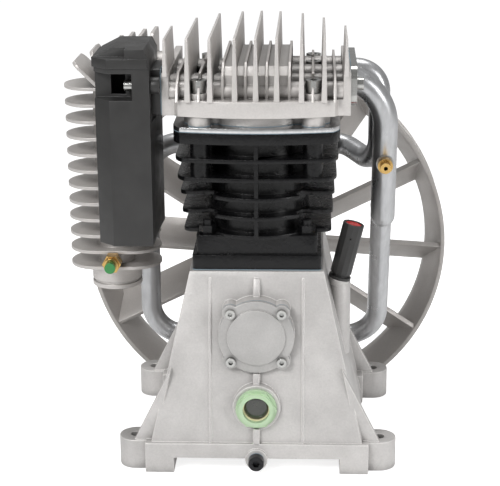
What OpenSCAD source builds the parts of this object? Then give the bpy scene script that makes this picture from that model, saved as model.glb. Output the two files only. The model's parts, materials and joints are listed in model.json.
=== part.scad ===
// Belt-driven two-stage air compressor pump: two in-line cylinders, finned head,
// intercooler pipe, finned aftercooler, intake filter and fan-bladed flywheel.
// Origin: centre of the four foot holes on the base plane. X right, Y to the flywheel, Z up.

/* [Feet and crankcase] */
// Distance between the foot holes, left to right
foot_dx = 240; // [220:1:260]
// Distance between the foot holes, front to back
foot_dy = 180; // [170:1:190]
// Radius of a foot pad
foot_r = 16.5; // [14:0.5:18]
// Height of a foot pad
foot_h = 30; // [24:1:36]
// Radius of a foot hole
foot_hole_r = 5.5; // [4.5:0.1:7]
// Width of the crankcase across its top deck
case_top_w = 130; // [126:1:136]
// Width of the crankcase sides carried down to the base plane
case_base_w = 220; // [212:1:226]
// Height of the top deck
case_top_z = 196; // [194:1:206]
// Height of the crankcase underside between the corner blocks
case_floor_z = 15.5; // [10:0.5:18]
// Front of the crankcase at the deck, ahead of the origin
case_top_front = 78; // [76:1:80]
// Front of the crankcase carried down to the base plane
case_base_front = 117; // [112:1:120]
// Back of the crankcase at the deck, behind the origin
case_top_back = 94; // [92:1:96]
// Back of the crankcase carried down to the base plane
case_base_back = 101; // [97:1:101]
// Thickness of the crankcase walls
case_wall = 6; // [4:0.5:8]
// Thickness of the top deck
case_deck_t = 14; // [10:1:15]
// Height of the beams along the bottom edges
beam_z = 31; // [26:1:36]

/* [Crank line] */
// Height of the crank axis
crank_z = 137; // [135:1:138]
// Distance of a crank pin from the crank axis
crank_throw = 28; // [24:1:29]
// Place of the low-pressure cylinder along the crank
lp_y = -16; // [-18:1:-14]
// Place of the high-pressure cylinder along the crank
hp_y = 60; // [58:1:62]
// Radius of the low-pressure bore
lp_bore_r = 43; // [40:0.5:43.5]
// Radius of the high-pressure bore
hp_bore_r = 22; // [20:0.5:23]
// Length of a connecting rod between its eyes
rod_len = 136; // [134:1:136.5]
// Radius of the crank pins
crank_pin_r = 14; // [12:0.5:15]
// Radius of the flywheel's seat on the shaft
seat_r = 17; // [15:0.5:18]
// Inner radius of the front bearing
front_bearing_ri = 12.5; // [11:0.5:14]
// Outer radius of the front bearing
front_bearing_ro = 26; // [24:0.5:28]
// Width of the front bearing
front_bearing_w = 15; // [13:1:16]
// Inner radius of the rear bearing
rear_bearing_ri = 20; // [19:0.5:21]
// Outer radius of the rear bearing
rear_bearing_ro = 40; // [38:0.5:41]
// Width of the rear bearing
rear_bearing_w = 18; // [16:1:19]

/* [Front cover and fittings] */
// Radius of the front cover
cover_r = 36.5; // [36:0.5:38]
// Front face of the cover's boss, ahead of the origin
cover_y = 97; // [95:1:99]
// Thickness of the cover
cover_t = 4.2; // [3:0.2:5]
// Radius of the raised disc on the cover
cover_disc_r = 28; // [20:1:30]
// Height of the sight glass
sight_z = 66.8; // [64:0.5:68]
// Outer radius of the sight glass
sight_r = 20; // [18:0.5:21]
// Radius of the sight glass window
sight_lens_r = 13; // [10:0.5:14]
// Radius of the sight glass neck in the crankcase
sight_neck_r = 15.5; // [15:0.5:16.5]
// Radius of the drain plug's head
drain_r = 7.5; // [6:0.5:8]
// Lean of the breather to the right, in degrees
breather_lean = 13.6; // [8:0.2:16]
// Length of the breather above its seat
breather_len = 58; // [50:1:66]
// Radius of the breather's body
breather_r = 10.6; // [9:0.1:11.5]

/* [Cylinder block] */
// Width of the block's base flange
block_flange_w = 125; // [122:1:126]
// Top face of the cylinder block
block_top_z = 332; // [331.6:0.2:336]
// Half width of the block's top flange
block_half_w = 79.5; // [77:0.5:81]
// Front edge of the fins, ahead of the origin
block_front = 81; // [79:0.5:82]
// Back edge of the fins, behind the origin
block_back = 98; // [95:0.5:99]
// Lowest fin's underside
fin_low_z = 227.5; // [224:0.5:230]
// Distance from fin to fin
fin_pitch = 18.8; // [17:0.1:19]
// Thickness of a block fin
block_fin_t = 4; // [3:0.5:5]

/* [Cylinder head] */
// Underside of the head's base plate
head_z = 346.6; // [345:0.2:349]
// Thickness of the head's base plate
head_plate_t = 15.6; // [13:0.2:17]
// Half width of the head's base plate
head_half_w = 81; // [79.5:0.5:82]
// Top of the tall fins
head_fin_z = 421; // [414:1:424]
// Distance of the outer tall fins from the middle
head_fin_x = 64; // [62:0.5:66]
// Thickness of a tall fin at its root
head_fin_t = 5.4; // [4:0.2:6]
// Outer faces of the head's side walls, from the middle
wall_x = 89; // [88:0.5:89.5]
// Height of the passages through the head
port_z = 368; // [366:0.5:369]

/* [Pipes] */
// Outer radius of the first pipe, from the head
big_pipe_r = 12.5; // [11.5:0.5:12.5]
// Outer radius of the long intercooler pipe
cooler_pipe_r = 11; // [10:0.5:11]
// Wall of both pipes
pipe_wall = 2; // [1.5:0.25:3]
// Distance of the intercooler's upright runs from the middle
cooler_x = 125; // [123:1:127]
// Distance of the intercooler's long run behind the origin
cooler_y = 114.5; // [114:0.5:118]
// Height of the intercooler's lower run
cooler_low_z = 59; // [56:1:62]
// Height of the intercooler's upper run
cooler_high_z = 278; // [272:1:282]

/* [Aftercooler] */
// Distance of the aftercooler's column left of the middle
column_x = 152; // [150:1:154]
// Place of the aftercooler's column behind the origin
column_y = 45; // [43:1:47]
// Half width of a cooling fin
column_fin_a = 47.5; // [44:0.5:49]
// Half depth of a cooling fin
column_fin_b = 30; // [26:0.5:31]
// Height of the lowest cooling fin
column_fin_low_z = 166; // [162:1:168]
// Distance from one cooling fin to the next
column_pitch = 17.05; // [16:0.05:17.5]
// Thickness of a cooling fin
column_fin_t = 3.4; // [2.5:0.1:4]
// Radius of the delivery boss at the bottom
delivery_r = 26; // [24:0.5:28]
// Radius of the delivery thread
delivery_hole_r = 15; // [12:0.5:18]

/* [Intake filter] */
// Left face of the filter housing, from the middle
filter_left = 152; // [150:0.5:153]
// Right face of the filter housing, from the middle
filter_right = 98.5; // [98:0.5:100]
// Front face of the filter housing, ahead of the origin
filter_front = 82; // [80:0.5:84]
// Back face of the filter housing, ahead of the origin
filter_back_y = 8; // [7:0.5:12]
// Underside of the filter housing
filter_low_z = 222; // [214:1:230]
// Top of the filter's hood
filter_top_z = 412; // [408:1:414]
// Wall of the filter housing
shell_t = 2.6; // [2:0.2:3]

/* [Flywheel] */
// Outer radius of the flywheel
wheel_r = 206; // [202:1:207]
// Front face of the flywheel's rim, behind the origin
wheel_y = 200.8; // [198:0.2:204]
// Width of the flywheel's rim
wheel_w = 45; // [42:0.5:48]
// Number of fan-blade spokes
wheel_spokes = 12; // [6:1:14]
// Thickness of a spoke
spoke_t = 5.5; // [4:0.5:7]
// Tilt of a spoke about its own length, in degrees
spoke_tilt = 36.9; // [25:0.5:45]
// Depth of a belt groove
groove_depth = 11; // [9:0.5:11.5]
// Width of a belt groove at the rim
groove_w = 13; // [11:0.5:13.5]
// Radial running clearance of the flywheel on its seat
run_fit = 0.05; // [0.02:0.01:0.1]

/* [Hidden] */
$fn = 48;

// Overrun of a cut, clearance round a thread and of a loose fit
cut = 1;
thread_fit = 0.05;
loose_fit = 0.3;
gasket_t = 0.8;

// Crankcase details
corner_x = 109;
corner_w = 28;
corner_d = 40;
beam_out = 4;
gusset_t = 8;
gusset_top_z = 104;
gusset_in = 10;
face_rib_x = 45;
face_rib_w = 2.4;
face_rib_h = 1.4;
middle_rib_w = 6;
middle_rib_h = 5;
sump_rib_t = 2.4;
sump_rib_h = 3;
sump_rib_shares = [-0.72, -0.6, -0.265, -0.155, 0.155, 0.265, 0.6, 0.72];
front_boss_in = 22;
cover_ear_r = 8;
cover_ear_at = 34.8;
small_screw_r = 3;
small_screw_head_r = 4.7;
small_screw_head_h = 4.5;
small_screw_grip = 12;
socket_share = 0.5;
sight_boss_r = 23;
sight_boss_out = 5;
drain_boss_r = 11;
drain_boss_out = 3;
drain_len = 14;
drain_bore_r = 3;
drain_head_h = 8;
drain_z = case_floor_z;
drain_washer_t = 1.2;
fill_y = -35;
fill_boss_r = 11;
fill_drop = 20;
fill_top = case_top_z - fill_drop;
fill_x = half_w(fill_top) + fill_boss_r;
fill_bore_r = 7;
fill_spigot = 16;
fill_collar = 6;
back_boss_r = 58;
back_boss_out = 5;
back_open_r = 47;
back_screw_at = 52.5;

// Crank details
web_t = 16;
hp_web_t = 14;
web_gap = 1.5;
web_r = case_top_z - case_deck_t - crank_z - web_gap;
lp_pin_len = 30;
hp_pin_len = 26;
shaft_step_r = 17;
housing_flange_t = 9;
housing_r = 47;
bearing_in = 8;
spigot_len = 8;
housing_nose_r = 30;
housing_end = 165;
seal_r = 28;
seal_t = 8;
hub_r = 34;
hub_y0 = 176;
hub_y1 = 240;
rod_gap = 0.25;
big_end_r = 22;
big_end_w_share = 0.86;
small_end_r = 11.5;
wrist_r = 8;
wrist_hole_r = 5;
boss_gap = 7.5;
rod_shank_w = 18;
rod_shank_t = 12;
rod_bolt_r = 3.5;
dipper_len = 20;
rod_bolt_at = 18.4;
rod_ear_w = 48;
rod_ear_h = 12;
rod_bolt_head_h = 5;
rod_bolt_head_r = 5.4;
piston_gap = 0.2;
lp_crown_h = 30;
lp_skirt_h = 26;
hp_crown_h = 30;
hp_skirt_h = 22;
piston_wall = 7;
piston_top_t = 8;
ring_t = 2.2;
ring_w = 3;
ring_pitch = 6;
ring_gap = 0.05;

// Block details
block_flange_t = 14.2;
neck_h = 19;
flange_top_z = case_top_z + gasket_t + block_flange_t;
neck_inset = 4;
neck_top_z = flange_top_z + neck_h;
deck_t = 11;
fin_taper = 1.4;
barrel_wall = 7;
skirt_wall = 3;
skirt_low_z = case_top_z - 6;
block_corner_r = 26;
block_bow_r = 330;
lobe_front = 50;
lobe_back = 66;
lobe_r = 9;
mid_fin_w = 42;
block_rib_t = 4;
stud_x = 48;
stud_front = 58;
stud_back = 78;
stud_r = 5;
nut_r = 8.6;
nut_h = 8;
stud_end = 5;
stud_grip = 11;
column_boss_r = 9.5;
head_bolt_places = [[-54, -62], [54, -62], [-54, 14], [54, 38], [-54, 82], [54, 82]];
head_bolt_r = 4.9;
head_bolt_hole_r = 5.3;
head_bolt_head_r = 7.6;
head_bolt_head_h = 12;
head_bolt_grip = 26;
plate_gasket_t = 0.6;
valve_plate_t = 4.1;
reed_t = 0.4;
reed_w = 13;
hp_reed_w = 9;
hp_reed_l = 21;
lp_port_x = 19;
lp_port_r = 5.2;
hp_port_x = 9;
hp_port_r = 3.4;
lp_port_gap = 16;

// Head details
head_back = 102;
head_corner_r = 30;
head_bow_r = 260;
skirt_inset = 11;
skirt_bulge_r = 57;
bulge_half = 35;
head_boss_r = 11;
rail_r = 9.5;
rail_ys = [-56, -14, 30, 66];
hump_x = 31;
hump_front = 62;
hump_back = 84;
hump_z = 384;
hump_top_z = 391;
hump_slope = 11;
low_rib_t = 2.6;
low_rib_rise = 4;
low_rib_xs = [-74, -53.4, -31.4, -10, 10, 31.4, 53.4, 74];
tall_fin_shares = [-1, -0.667, -0.306, 0, 0.306, 0.667, 1];
tall_fin_backs = [57, 87, 101, 105, 101, 87, 57];
tall_fin_top_share = 0.45;
wall_t = 7;
wall_top_z = 387;
wall_front = 66;
wall_back = 90;
wall_fin_t = 4.4;
wall_fin_back = 4;
chamber_gap = 6;
chamber_top_z = 358;
lp_chamber_r = 36;
hp_chamber_r = 20;
passage_r = 9;
lp_in_y = -40;
lp_out_y = 14;
hp_in_y = 62;
hp_out_y = column_y;
feed_in = 12;
hp_feed_r = 6.3;
hp_feed_x = 11;
hp_feed_in = 6;

// Pipe details
flange_t = 6;
flange_low_z = 347;
flange_top = 387;
flange_front = 32;
flange_back = 89;
flange_corner_r = 12;
flange_bolt_ys = [-18, 38, 80];
flange_bolt_r = 3.9;
flange_bolt_head_r = 6.4;
flange_bolt_head_h = 6.5;
flange_x = wall_x + gasket_t + flange_t;
bend_swell = 0.05;
bend_lap = 0.5;
big_bend_r = 52;
big_turn_x = 126;
big_turn_z = port_z - 2 - (big_turn_x - flange_x) * tan(30);
big_end_y = 42;
big_end_z = 219;
seat_rise = 2.5;
join_z = 226;
join_out = 27;
join_bend_r = 15;
u_bend_r = 36;
j_bend_r = 24;
j_turn_x = 87;
j_up_x = 121.5;
j_low_z = 266;
fitting_z = 280;
fitting_r = 7.6;
fitting_len = 10;
fitting_nose_r = 5.4;
fitting_nose_len = 9;
fitting_hole_r = 2;

// Aftercooler details
column_r = 19;
column_wall = 6;
column_fins = 12;
duct_z = 370;
duct_r = 19;
duct_bend_r = 30;
duct_flange_t = 8;
duct_flange_h = 24;
duct_bolt_r = 3.4;
duct_bolt_at = 24;
duct_bolt_head_r = 5.6;
duct_bolt_head_h = 6;
duct_fin_xs = [106, 118, 130, 142];
duct_fin_tops = [411, 408.5, 405.5, 402];
fan_z = column_fin_low_z + (column_fins - 1) * column_pitch + column_fin_t / 2;
fan_half = 29;
fan_corner_r = 9;
elbow_fin_ins = [1, -7];
elbow_fin_angles = [24, 45];
elbow_fin_lens = [41, 38];
neck_cone_h = 8;
groove_ring_h = 3;
groove_ring_in = 1.6;
delivery_low_z = 143.5;
delivery_depth = 18;
valve_z = column_fin_low_z + (column_pitch + column_fin_t) / 2;
valve_boss_out = 3;
valve_hex_r = 9.8;
valve_hex_len = 13;
valve_ring_r = 7.5;
valve_ring_len = 5;
valve_shank_r = 5;
valve_cap_r = 5.6;
valve_cap_len = 8;
valve_stem_r = 1.6;
spring_r = 3.2;
spring_wire_r = 0.5;
spring_turns = 7;
spring_steps = 12;
coil_sides = 6;

// Filter details
notch_low_z = 364;
notch_top_z = 389;
notch_right = 115;
notch_depth = 20;
facet_x = 15.5;
facet_y = 14;
hood_low_z = 394;
hood_out = 1.6;
hood_chamfer = 9;
flare_out = 4;
flare_low_z = 228;
flare_top_z = 342;
elbow_block_front = 66;
elbow_block_back = 14;
elbow_low_z = 346;
elbow_top_z = 391;
elbow_screw_in = 7;
filter_duct_r = 12;
filter_back_t = 4;
filter_slot_w = 3;
element_gap = 6;
bolt_y = -71;
filter_bolt_z = 376.5;
filter_bolt_r = 3;
filter_bolt_head_r = 5.4;
filter_bolt_head_h = 8;

// Flywheel details
rim_lip = 4.5;
rim_cone_depth = 30;
rim_back_thick = 20;
groove_front_share = 0.45;
groove_back_share = 0.8;
groove_low_share = 0.55;
spoke_w = 42.6;
spoke_mid = 20;
spoke_start = 3.8;
washer_t = 4;
washer_lap = 5;
wheel_bolt_r = 6;
wheel_bolt_len = 26;
wheel_bolt_head_r = 10.4;
wheel_bolt_head_h = 8;

// Widths of the crankcase's outside at a height
function half_w(z) = case_top_w / 2 + (case_top_z - z) * (case_base_w - case_top_w) / (2 * case_top_z);
function front_y(z) = -case_top_front - (case_top_z - z) * (case_base_front - case_top_front) / case_top_z;
function back_y(z) = case_top_back + (case_top_z - z) * (case_base_back - case_top_back) / case_top_z;
function unit(v) = v / norm(v);
function side_of(d) = unit(cross(d, abs(d.z) < 0.9 ? [0, 0, 1] : [1, 0, 0]));

// Solids along an axis, from one place to another
module ycyl(r, y0, y1) translate([0, y1, 0]) rotate([90, 0, 0]) cylinder(r = r, h = y1 - y0);
module ycone(r0, r1, y0, y1) translate([0, y0, 0]) rotate([-90, 0, 0]) cylinder(r1 = r0, r2 = r1, h = y1 - y0);
module xcyl(r, x0, x1) translate([x0, 0, 0]) rotate([0, 90, 0]) cylinder(r = r, h = x1 - x0);
module zcyl(r, z0, z1) translate([0, 0, z0]) cylinder(r = r, h = z1 - z0);
module ybar(r, sides, y0, y1) translate([0, y1, 0]) rotate([90, 0, 0]) cylinder(r = r, h = y1 - y0, $fn = sides);
module zbar(r, sides, z0, z1) translate([0, 0, z0]) cylinder(r = r, h = z1 - z0, $fn = sides);
module box(x0, x1, y0, y1, z0, z1) translate([x0, y0, z0]) cube([x1 - x0, y1 - y0, z1 - z0]);
module prism_y(y0, y1) translate([0, y1, 0]) rotate([90, 0, 0]) linear_extrude(y1 - y0) children();
module prism_x(x0, x1) translate([x0, 0, 0]) rotate([90, 0, 90]) linear_extrude(x1 - x0) children();
module slab(z0, z1) translate([0, 0, z0]) linear_extrude(z1 - z0) children();
module yturn() rotate([-90, 0, 0]) rotate_extrude() children();
module at_crank() translate([0, 0, crank_z]) children();

// A rectangle with round corners, from corner to corner
module round_rect(x0, x1, y0, y1, r) {
    translate([x0 + r, y0]) square([x1 - x0 - 2 * r, y1 - y0]);
    translate([x0, y0 + r]) square([x1 - x0, y1 - y0 - 2 * r]);
    for (x = [x0 + r, x1 - r], y = [y0 + r, y1 - r]) translate([x, y]) circle(r);
}

/* Crankcase and what closes it */
module case_form(inset, z0, z1) intersection() {
    prism_y(front_y(0) - cut, back_y(0) + cut) polygon([[-half_w(z0) + inset, z0],
        [half_w(z0) - inset, z0], [half_w(z1) - inset, z1], [-half_w(z1) + inset, z1]]);
    prism_x(-case_base_w, case_base_w) polygon([[front_y(z0) + inset, z0],
        [back_y(z0) - inset, z0], [back_y(z1) - inset, z1], [front_y(z1) + inset, z1]]);
}

// A rib standing proud of the sloping front face
module face_rib(x, w, h, z0, z1) prism_x(x - w / 2, x + w / 2) polygon([[front_y(z0) - h, z0],
    [front_y(z0) + case_wall / 2, z0], [front_y(z1) + case_wall / 2, z1], [front_y(z1) - h / 2, z1],
    [front_y(z1 - 2 * h) - h, z1 - 2 * h]]);

module foot(side, y) {
    x = side * foot_dx / 2;
    translate([x, y]) zcyl(foot_r, 0, foot_h);
    inner = corner_x - corner_w / 2;
    box(min(x, side * inner), max(x, side * inner), y - foot_r, y + foot_r, 0, foot_h);
    prism_y(y - gusset_in - gusset_t / 2, y - gusset_in + gusset_t / 2)
        polygon([[side * (half_w(gusset_top_z) - case_wall / 2), gusset_top_z],
        [side * foot_dx / 2, foot_h], [side * foot_dx / 2, foot_h - case_wall],
        [side * (half_w(foot_h) - case_wall / 2), foot_h - case_wall]]);
}

module corner_block(side, y0, y1)
    box(min(side * corner_x, side * (corner_x - corner_w)), max(side * corner_x, side * (corner_x - corner_w)),
        y0, y1, 0, beam_z);

module cover_plan(grow) {
    circle(cover_r + grow);
    for (a = [45:90:315]) rotate(a) translate([cover_ear_at, 0]) circle(cover_ear_r + grow);
}

module at_cover_screws() for (a = [45:90:315]) rotate([0, a, 0]) translate([cover_ear_at, 0, 0]) children();
module at_back_screws() for (a = [30:60:330]) rotate([0, a, 0]) translate([back_screw_at, 0, 0]) children();
module at_deck_studs() for (x = [-stud_x, stud_x], y = [-stud_front, stud_back]) translate([x, y]) children();
module at_head_bolts() for (p = head_bolt_places) translate(p) children();
module at_filler() translate([fill_x, fill_y, fill_top]) rotate([0, breather_lean, 0]) children();

module case_shell() difference() {
    union() {
        case_form(0, case_floor_z, case_top_z);
        box(-corner_x, corner_x, front_y(beam_z) - beam_out, front_y(beam_z) + case_wall, case_floor_z, beam_z);
        box(-corner_x, corner_x, back_y(beam_z) - case_wall, back_y(beam_z) + beam_out, case_floor_z, beam_z);
        for (side = [-1, 1]) {
            corner_block(side, front_y(beam_z) - beam_out, front_y(beam_z) + corner_d);
            corner_block(side, back_y(beam_z) - corner_d, back_y(beam_z) + beam_out);
            for (y = [-foot_dy / 2, foot_dy / 2]) foot(side, y);
            face_rib(side * face_rib_x, face_rib_w, face_rib_h, beam_z, case_top_z - middle_rib_w);
        }
        face_rib(0, middle_rib_w, middle_rib_h, beam_z, case_top_z - middle_rib_w);
        translate([fill_x, fill_y]) zcyl(fill_boss_r, case_top_z / 2, fill_top - fill_collar / 2);
        at_filler() zcyl(fill_boss_r, -fill_collar, 0);
        for (share = sump_rib_shares)
            box(share * corner_x - sump_rib_t / 2, share * corner_x + sump_rib_t / 2,
                front_y(beam_z) + case_wall / 2, back_y(beam_z) - case_wall / 2,
                case_floor_z - sump_rib_h, case_floor_z + case_wall / 2);
    }
    case_form(case_wall, case_floor_z + case_wall, case_top_z - case_deck_t);
}

module crankcase() color("#c9c7c4") difference() {
    union() {
        case_shell();
        at_crank() prism_y(-cover_y, -cover_y + front_boss_in) cover_plan(0);
        translate([0, 0, sight_z]) ycyl(sight_boss_r, sight_face, front_y(sight_z) + case_wall + sight_boss_out);
        translate([0, 0, drain_z]) ycyl(drain_boss_r, drain_face, drain_face + drain_len + 2 * drain_bore_r);
        at_crank() ycyl(back_boss_r, back_y(crank_z) - 2 * case_wall, back_face);
    }
    at_crank() prism_y(-case_base_front, -cover_y) cover_plan(cut);
    translate([0, 0, sight_z]) ycyl(sight_r + cut, -case_base_front - cut, sight_face);
    at_crank() ycyl(front_bearing_ro, -cover_y - cut, -cover_y + front_bearing_w);
    at_crank() ycyl(front_bearing_ro - case_wall, -cover_y - cut, -cover_y + front_boss_in + cut);
    at_crank() at_cover_screws() ycyl(small_screw_r + thread_fit, -cover_y - cut, -cover_y + small_screw_grip);
    translate([0, 0, sight_z]) ycyl(sight_neck_r + thread_fit, sight_face - cut, front_y(sight_z) + 2 * case_wall);
    translate([0, 0, drain_z]) ycyl(drain_r * socket_share + thread_fit, drain_face - cut, drain_face + drain_len + drain_bore_r / 2);
    translate([0, drain_face + drain_len]) zcyl(drain_bore_r, drain_z, case_floor_z + 2 * case_wall);
    at_crank() ycyl(back_open_r, back_y(crank_z) - 4 * case_wall, back_face + cut);
    at_crank() at_back_screws() ycyl(small_screw_r + thread_fit, back_face - small_screw_grip, back_face + cut);
    at_filler() zcyl(fill_bore_r + loose_fit, -fill_top / 3, cut);
    translate([0, lp_y]) zcyl(lp_bore_r + skirt_wall + loose_fit, case_top_z - case_deck_t - cut, case_top_z + cut);
    translate([0, hp_y]) zcyl(hp_bore_r + skirt_wall + loose_fit, case_top_z - case_deck_t - cut, case_top_z + cut);
    at_deck_studs() zcyl(stud_r + thread_fit, case_top_z - stud_grip, case_top_z + cut);
    for (x = [-foot_dx / 2, foot_dx / 2], y = [-foot_dy / 2, foot_dy / 2])
        translate([x, y]) zcyl(foot_hole_r, -cut, foot_h + cut);
}
back_face = case_top_back + back_boss_out;

module front_cover_gasket() color("#5f8fa3") at_crank() difference() {
    prism_y(-cover_y - gasket_t, -cover_y) cover_plan(0);
    ycyl(front_bearing_ro - case_wall, -cover_y - gasket_t - cut, -cover_y + cut);
    at_cover_screws() ycyl(small_screw_r + loose_fit, -cover_y - gasket_t - cut, -cover_y + cut);
}

cover_face = -cover_y - gasket_t - cover_t;
module front_cover() color("#c4c3c1") at_crank() difference() {
    union() {
        prism_y(cover_face, -cover_y - gasket_t) cover_plan(0);
        ycyl(cover_disc_r, cover_face - cover_t / 2, -cover_y - gasket_t - cover_t / 2);
    }
    at_cover_screws() ycyl(small_screw_r + loose_fit, cover_face - cut, -cover_y);
    at_cover_screws() ycyl(small_screw_head_r + loose_fit, cover_face - cover_t, cover_face);
}

// A cap screw with its head above Z zero and its shank below
module cap_screw(r, head_r, head_h, grip) difference() {
    union() {
        zcyl(head_r, 0, head_h);
        zcyl(r, -grip, cut);
    }
    zbar(head_r * socket_share, 6, head_h / 2, head_h + cut);
}
module small_screw(grip) cap_screw(small_screw_r, small_screw_head_r, small_screw_head_h, grip);

module front_cover_screws() color("#d5d7d6") at_crank() at_cover_screws() translate([0, cover_face, 0])
    rotate([90, 0, 0]) small_screw(cover_t + gasket_t + small_screw_grip - cut);

sight_face = front_y(sight_z) - sight_boss_out;
sight_ring_t = 6;
sight_lip = 3;
module sight_glass_ring() color([0.62, 0.86, 0.62, 0.8]) translate([0, 0, sight_z]) difference() {
    union() {
        ycyl(sight_r, sight_face - sight_ring_t / 2, sight_face);
        ybar(sight_r, 6, sight_face - sight_ring_t, sight_face - sight_ring_t / 2);
        ycyl(sight_r - sight_lip, sight_face - sight_ring_t - sight_lip / 2, sight_face - sight_ring_t / 2);
        ycyl(sight_neck_r, sight_face - sight_ring_t / 2, sight_face + case_wall);
    }
    ycyl(sight_lens_r, sight_face - 2 * sight_ring_t, sight_face + case_wall + cut);
}

module sight_glass_lens() color("#3a3a34") translate([0, 0, sight_z])
    ycyl(sight_lens_r - thread_fit, sight_face - sight_ring_t / 2, sight_face + case_wall / 2);

drain_face = front_y(beam_z) - beam_out - drain_boss_out;
module drain_washer() color("#8a8a88") translate([0, 0, drain_z]) difference() {
    ycyl(drain_r, drain_face - drain_washer_t, drain_face);
    ycyl(drain_r * socket_share + loose_fit, drain_face - 2 * drain_washer_t, drain_face + cut);
}

module drain_plug() color("#1d1d1f") translate([0, 0, drain_z]) difference() {
    union() {
        ycyl(drain_r, drain_face - drain_washer_t - drain_head_h, drain_face - drain_washer_t);
        ycyl(drain_r * socket_share, drain_face - drain_washer_t, drain_face + drain_len);
    }
    ybar(drain_r * socket_share, 6, drain_face - drain_washer_t - drain_head_h - cut,
        drain_face - drain_washer_t - drain_head_h / 2);
}

/* Breather */
breather_flange_t = 3;
breather_waist_h = 3;
breather_waist_r = 8;
vent_share = 0.76;
insert_t = 1.6;
o_ring_r = 0.5;
module breather_body() color("#26262a") at_filler() difference() {
    union() {
        zcyl(fill_bore_r, -fill_spigot, 0);
        zcyl(fill_boss_r, 0, breather_flange_t);
        zcyl(breather_waist_r, 0, breather_flange_t + breather_waist_h + cut);
        zbar(breather_r, 12, breather_flange_t + breather_waist_h, breather_len);
    }
    zcyl(breather_waist_r, breather_len - 2 * insert_t, breather_len + cut);
    zcyl(fill_bore_r - piston_wall / 2, -fill_spigot - cut, breather_len - 4 * insert_t);
    translate([0, 0, fill_spigot * -0.5]) rotate_extrude() translate([fill_bore_r, 0]) circle(2 * o_ring_r);
    translate([0, 0, breather_len * vent_share]) ycyl(insert_t / 2, -breather_r - cut, -fill_bore_r + insert_t);
}

module breather_insert() color("#d8231f") at_filler()
    zcyl(breather_waist_r - thread_fit, breather_len - 2 * insert_t, breather_len - insert_t / 2);

module breather_o_ring() color("#161616") at_filler() translate([0, 0, fill_spigot * -0.5])
    rotate_extrude() translate([fill_bore_r - o_ring_r / 2, 0]) circle(o_ring_r);

/* Rear bearing housing */
module bearing_housing_gasket() color("#6d6a60") at_crank() difference() {
    ycyl(back_boss_r, back_face, back_face + gasket_t);
    ycyl(back_open_r, back_face - cut, back_face + 2 * gasket_t);
    at_back_screws() ycyl(small_screw_r + loose_fit, back_face - cut, back_face + 2 * gasket_t);
}

housing_face = back_face + gasket_t;
rear_bearing_y = housing_face + bearing_in;
module bearing_housing() color("#c9c7c4") at_crank() difference() {
    union() {
        ycyl(back_boss_r, housing_face, housing_face + housing_flange_t);
        ycyl(back_open_r - loose_fit, housing_face - spigot_len, housing_face + cut);
        ycyl(housing_r, housing_face, rear_bearing_y + rear_bearing_w + case_wall);
        ycone(housing_r, housing_nose_r + case_wall, rear_bearing_y + rear_bearing_w + case_wall, housing_end);
    }
    ycyl(rear_bearing_ro, housing_face - spigot_len - cut, rear_bearing_y + rear_bearing_w);
    ycyl(seal_r - case_wall / 2, housing_face, housing_end + cut);
    ycyl(seal_r, housing_end - seal_t, housing_end + cut);
    at_back_screws() ycyl(small_screw_r + loose_fit, housing_face - cut, housing_face + housing_flange_t + cut);
}

module bearing_housing_screws() color("#d5d7d6") at_crank() at_back_screws()
    translate([0, housing_face + housing_flange_t, 0]) rotate([-90, 0, 0])
        small_screw(housing_flange_t + gasket_t + small_screw_grip - cut);

ball_share = 0.29;
land_share = 0.2;
// A deep-groove bearing: two rings with a groove and a row of balls
module ball_bearing(ri, ro, w, y, balls) at_crank() translate([0, y + w / 2, 0]) {
    rm = (ri + ro) / 2;
    rb = (ro - ri) * ball_share;
    land = (ro - ri) * land_share;
    difference() {
        yturn() polygon([[ri, -w / 2], [rm - land, -w / 2], [rm - land, w / 2], [ri, w / 2]]);
        yturn() translate([rm, 0]) circle(rb + thread_fit);
    }
    difference() {
        yturn() polygon([[rm + land, -w / 2], [ro, -w / 2], [ro, w / 2], [rm + land, w / 2]]);
        yturn() translate([rm, 0]) circle(rb + thread_fit);
    }
    for (i = [0:balls - 1]) rotate([0, i * 360 / balls, 0]) translate([rm, 0, 0]) sphere(rb);
}

module front_bearing() color("#9fa3a6") ball_bearing(front_bearing_ri + thread_fit, front_bearing_ro - thread_fit,
    front_bearing_w, -cover_y, 9);
module rear_bearing() color("#9fa3a6") ball_bearing(rear_bearing_ri + thread_fit, rear_bearing_ro - thread_fit,
    rear_bearing_w, rear_bearing_y, 10);

module shaft_seal() color("#3b2f2a") at_crank() difference() {
    ycyl(seal_r - thread_fit, housing_end - seal_t, housing_end);
    ycyl(shaft_step_r + loose_fit + case_wall / 3, housing_end - seal_t - cut, housing_end + cut);
}

/* Crankshaft, rods and pistons, drawn with the low-pressure piston at the top */
module crank_web(y, t, up) translate([0, y, 0]) {
    side = up ? 1 : -1;
    intersection() {
        ycyl(web_r, 0, t);
        union() {
            translate([0, 0, side * crank_throw]) ycyl(crank_pin_r + 2, 0, t);
            box(-crank_pin_r - 2, crank_pin_r + 2, 0, t, -crank_throw, crank_throw);
            translate([0, 0, side * -web_r / 2]) box(-web_r, web_r, 0, t, -web_r / 2, web_r / 2 - crank_pin_r / 2);
        }
    }
}

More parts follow.
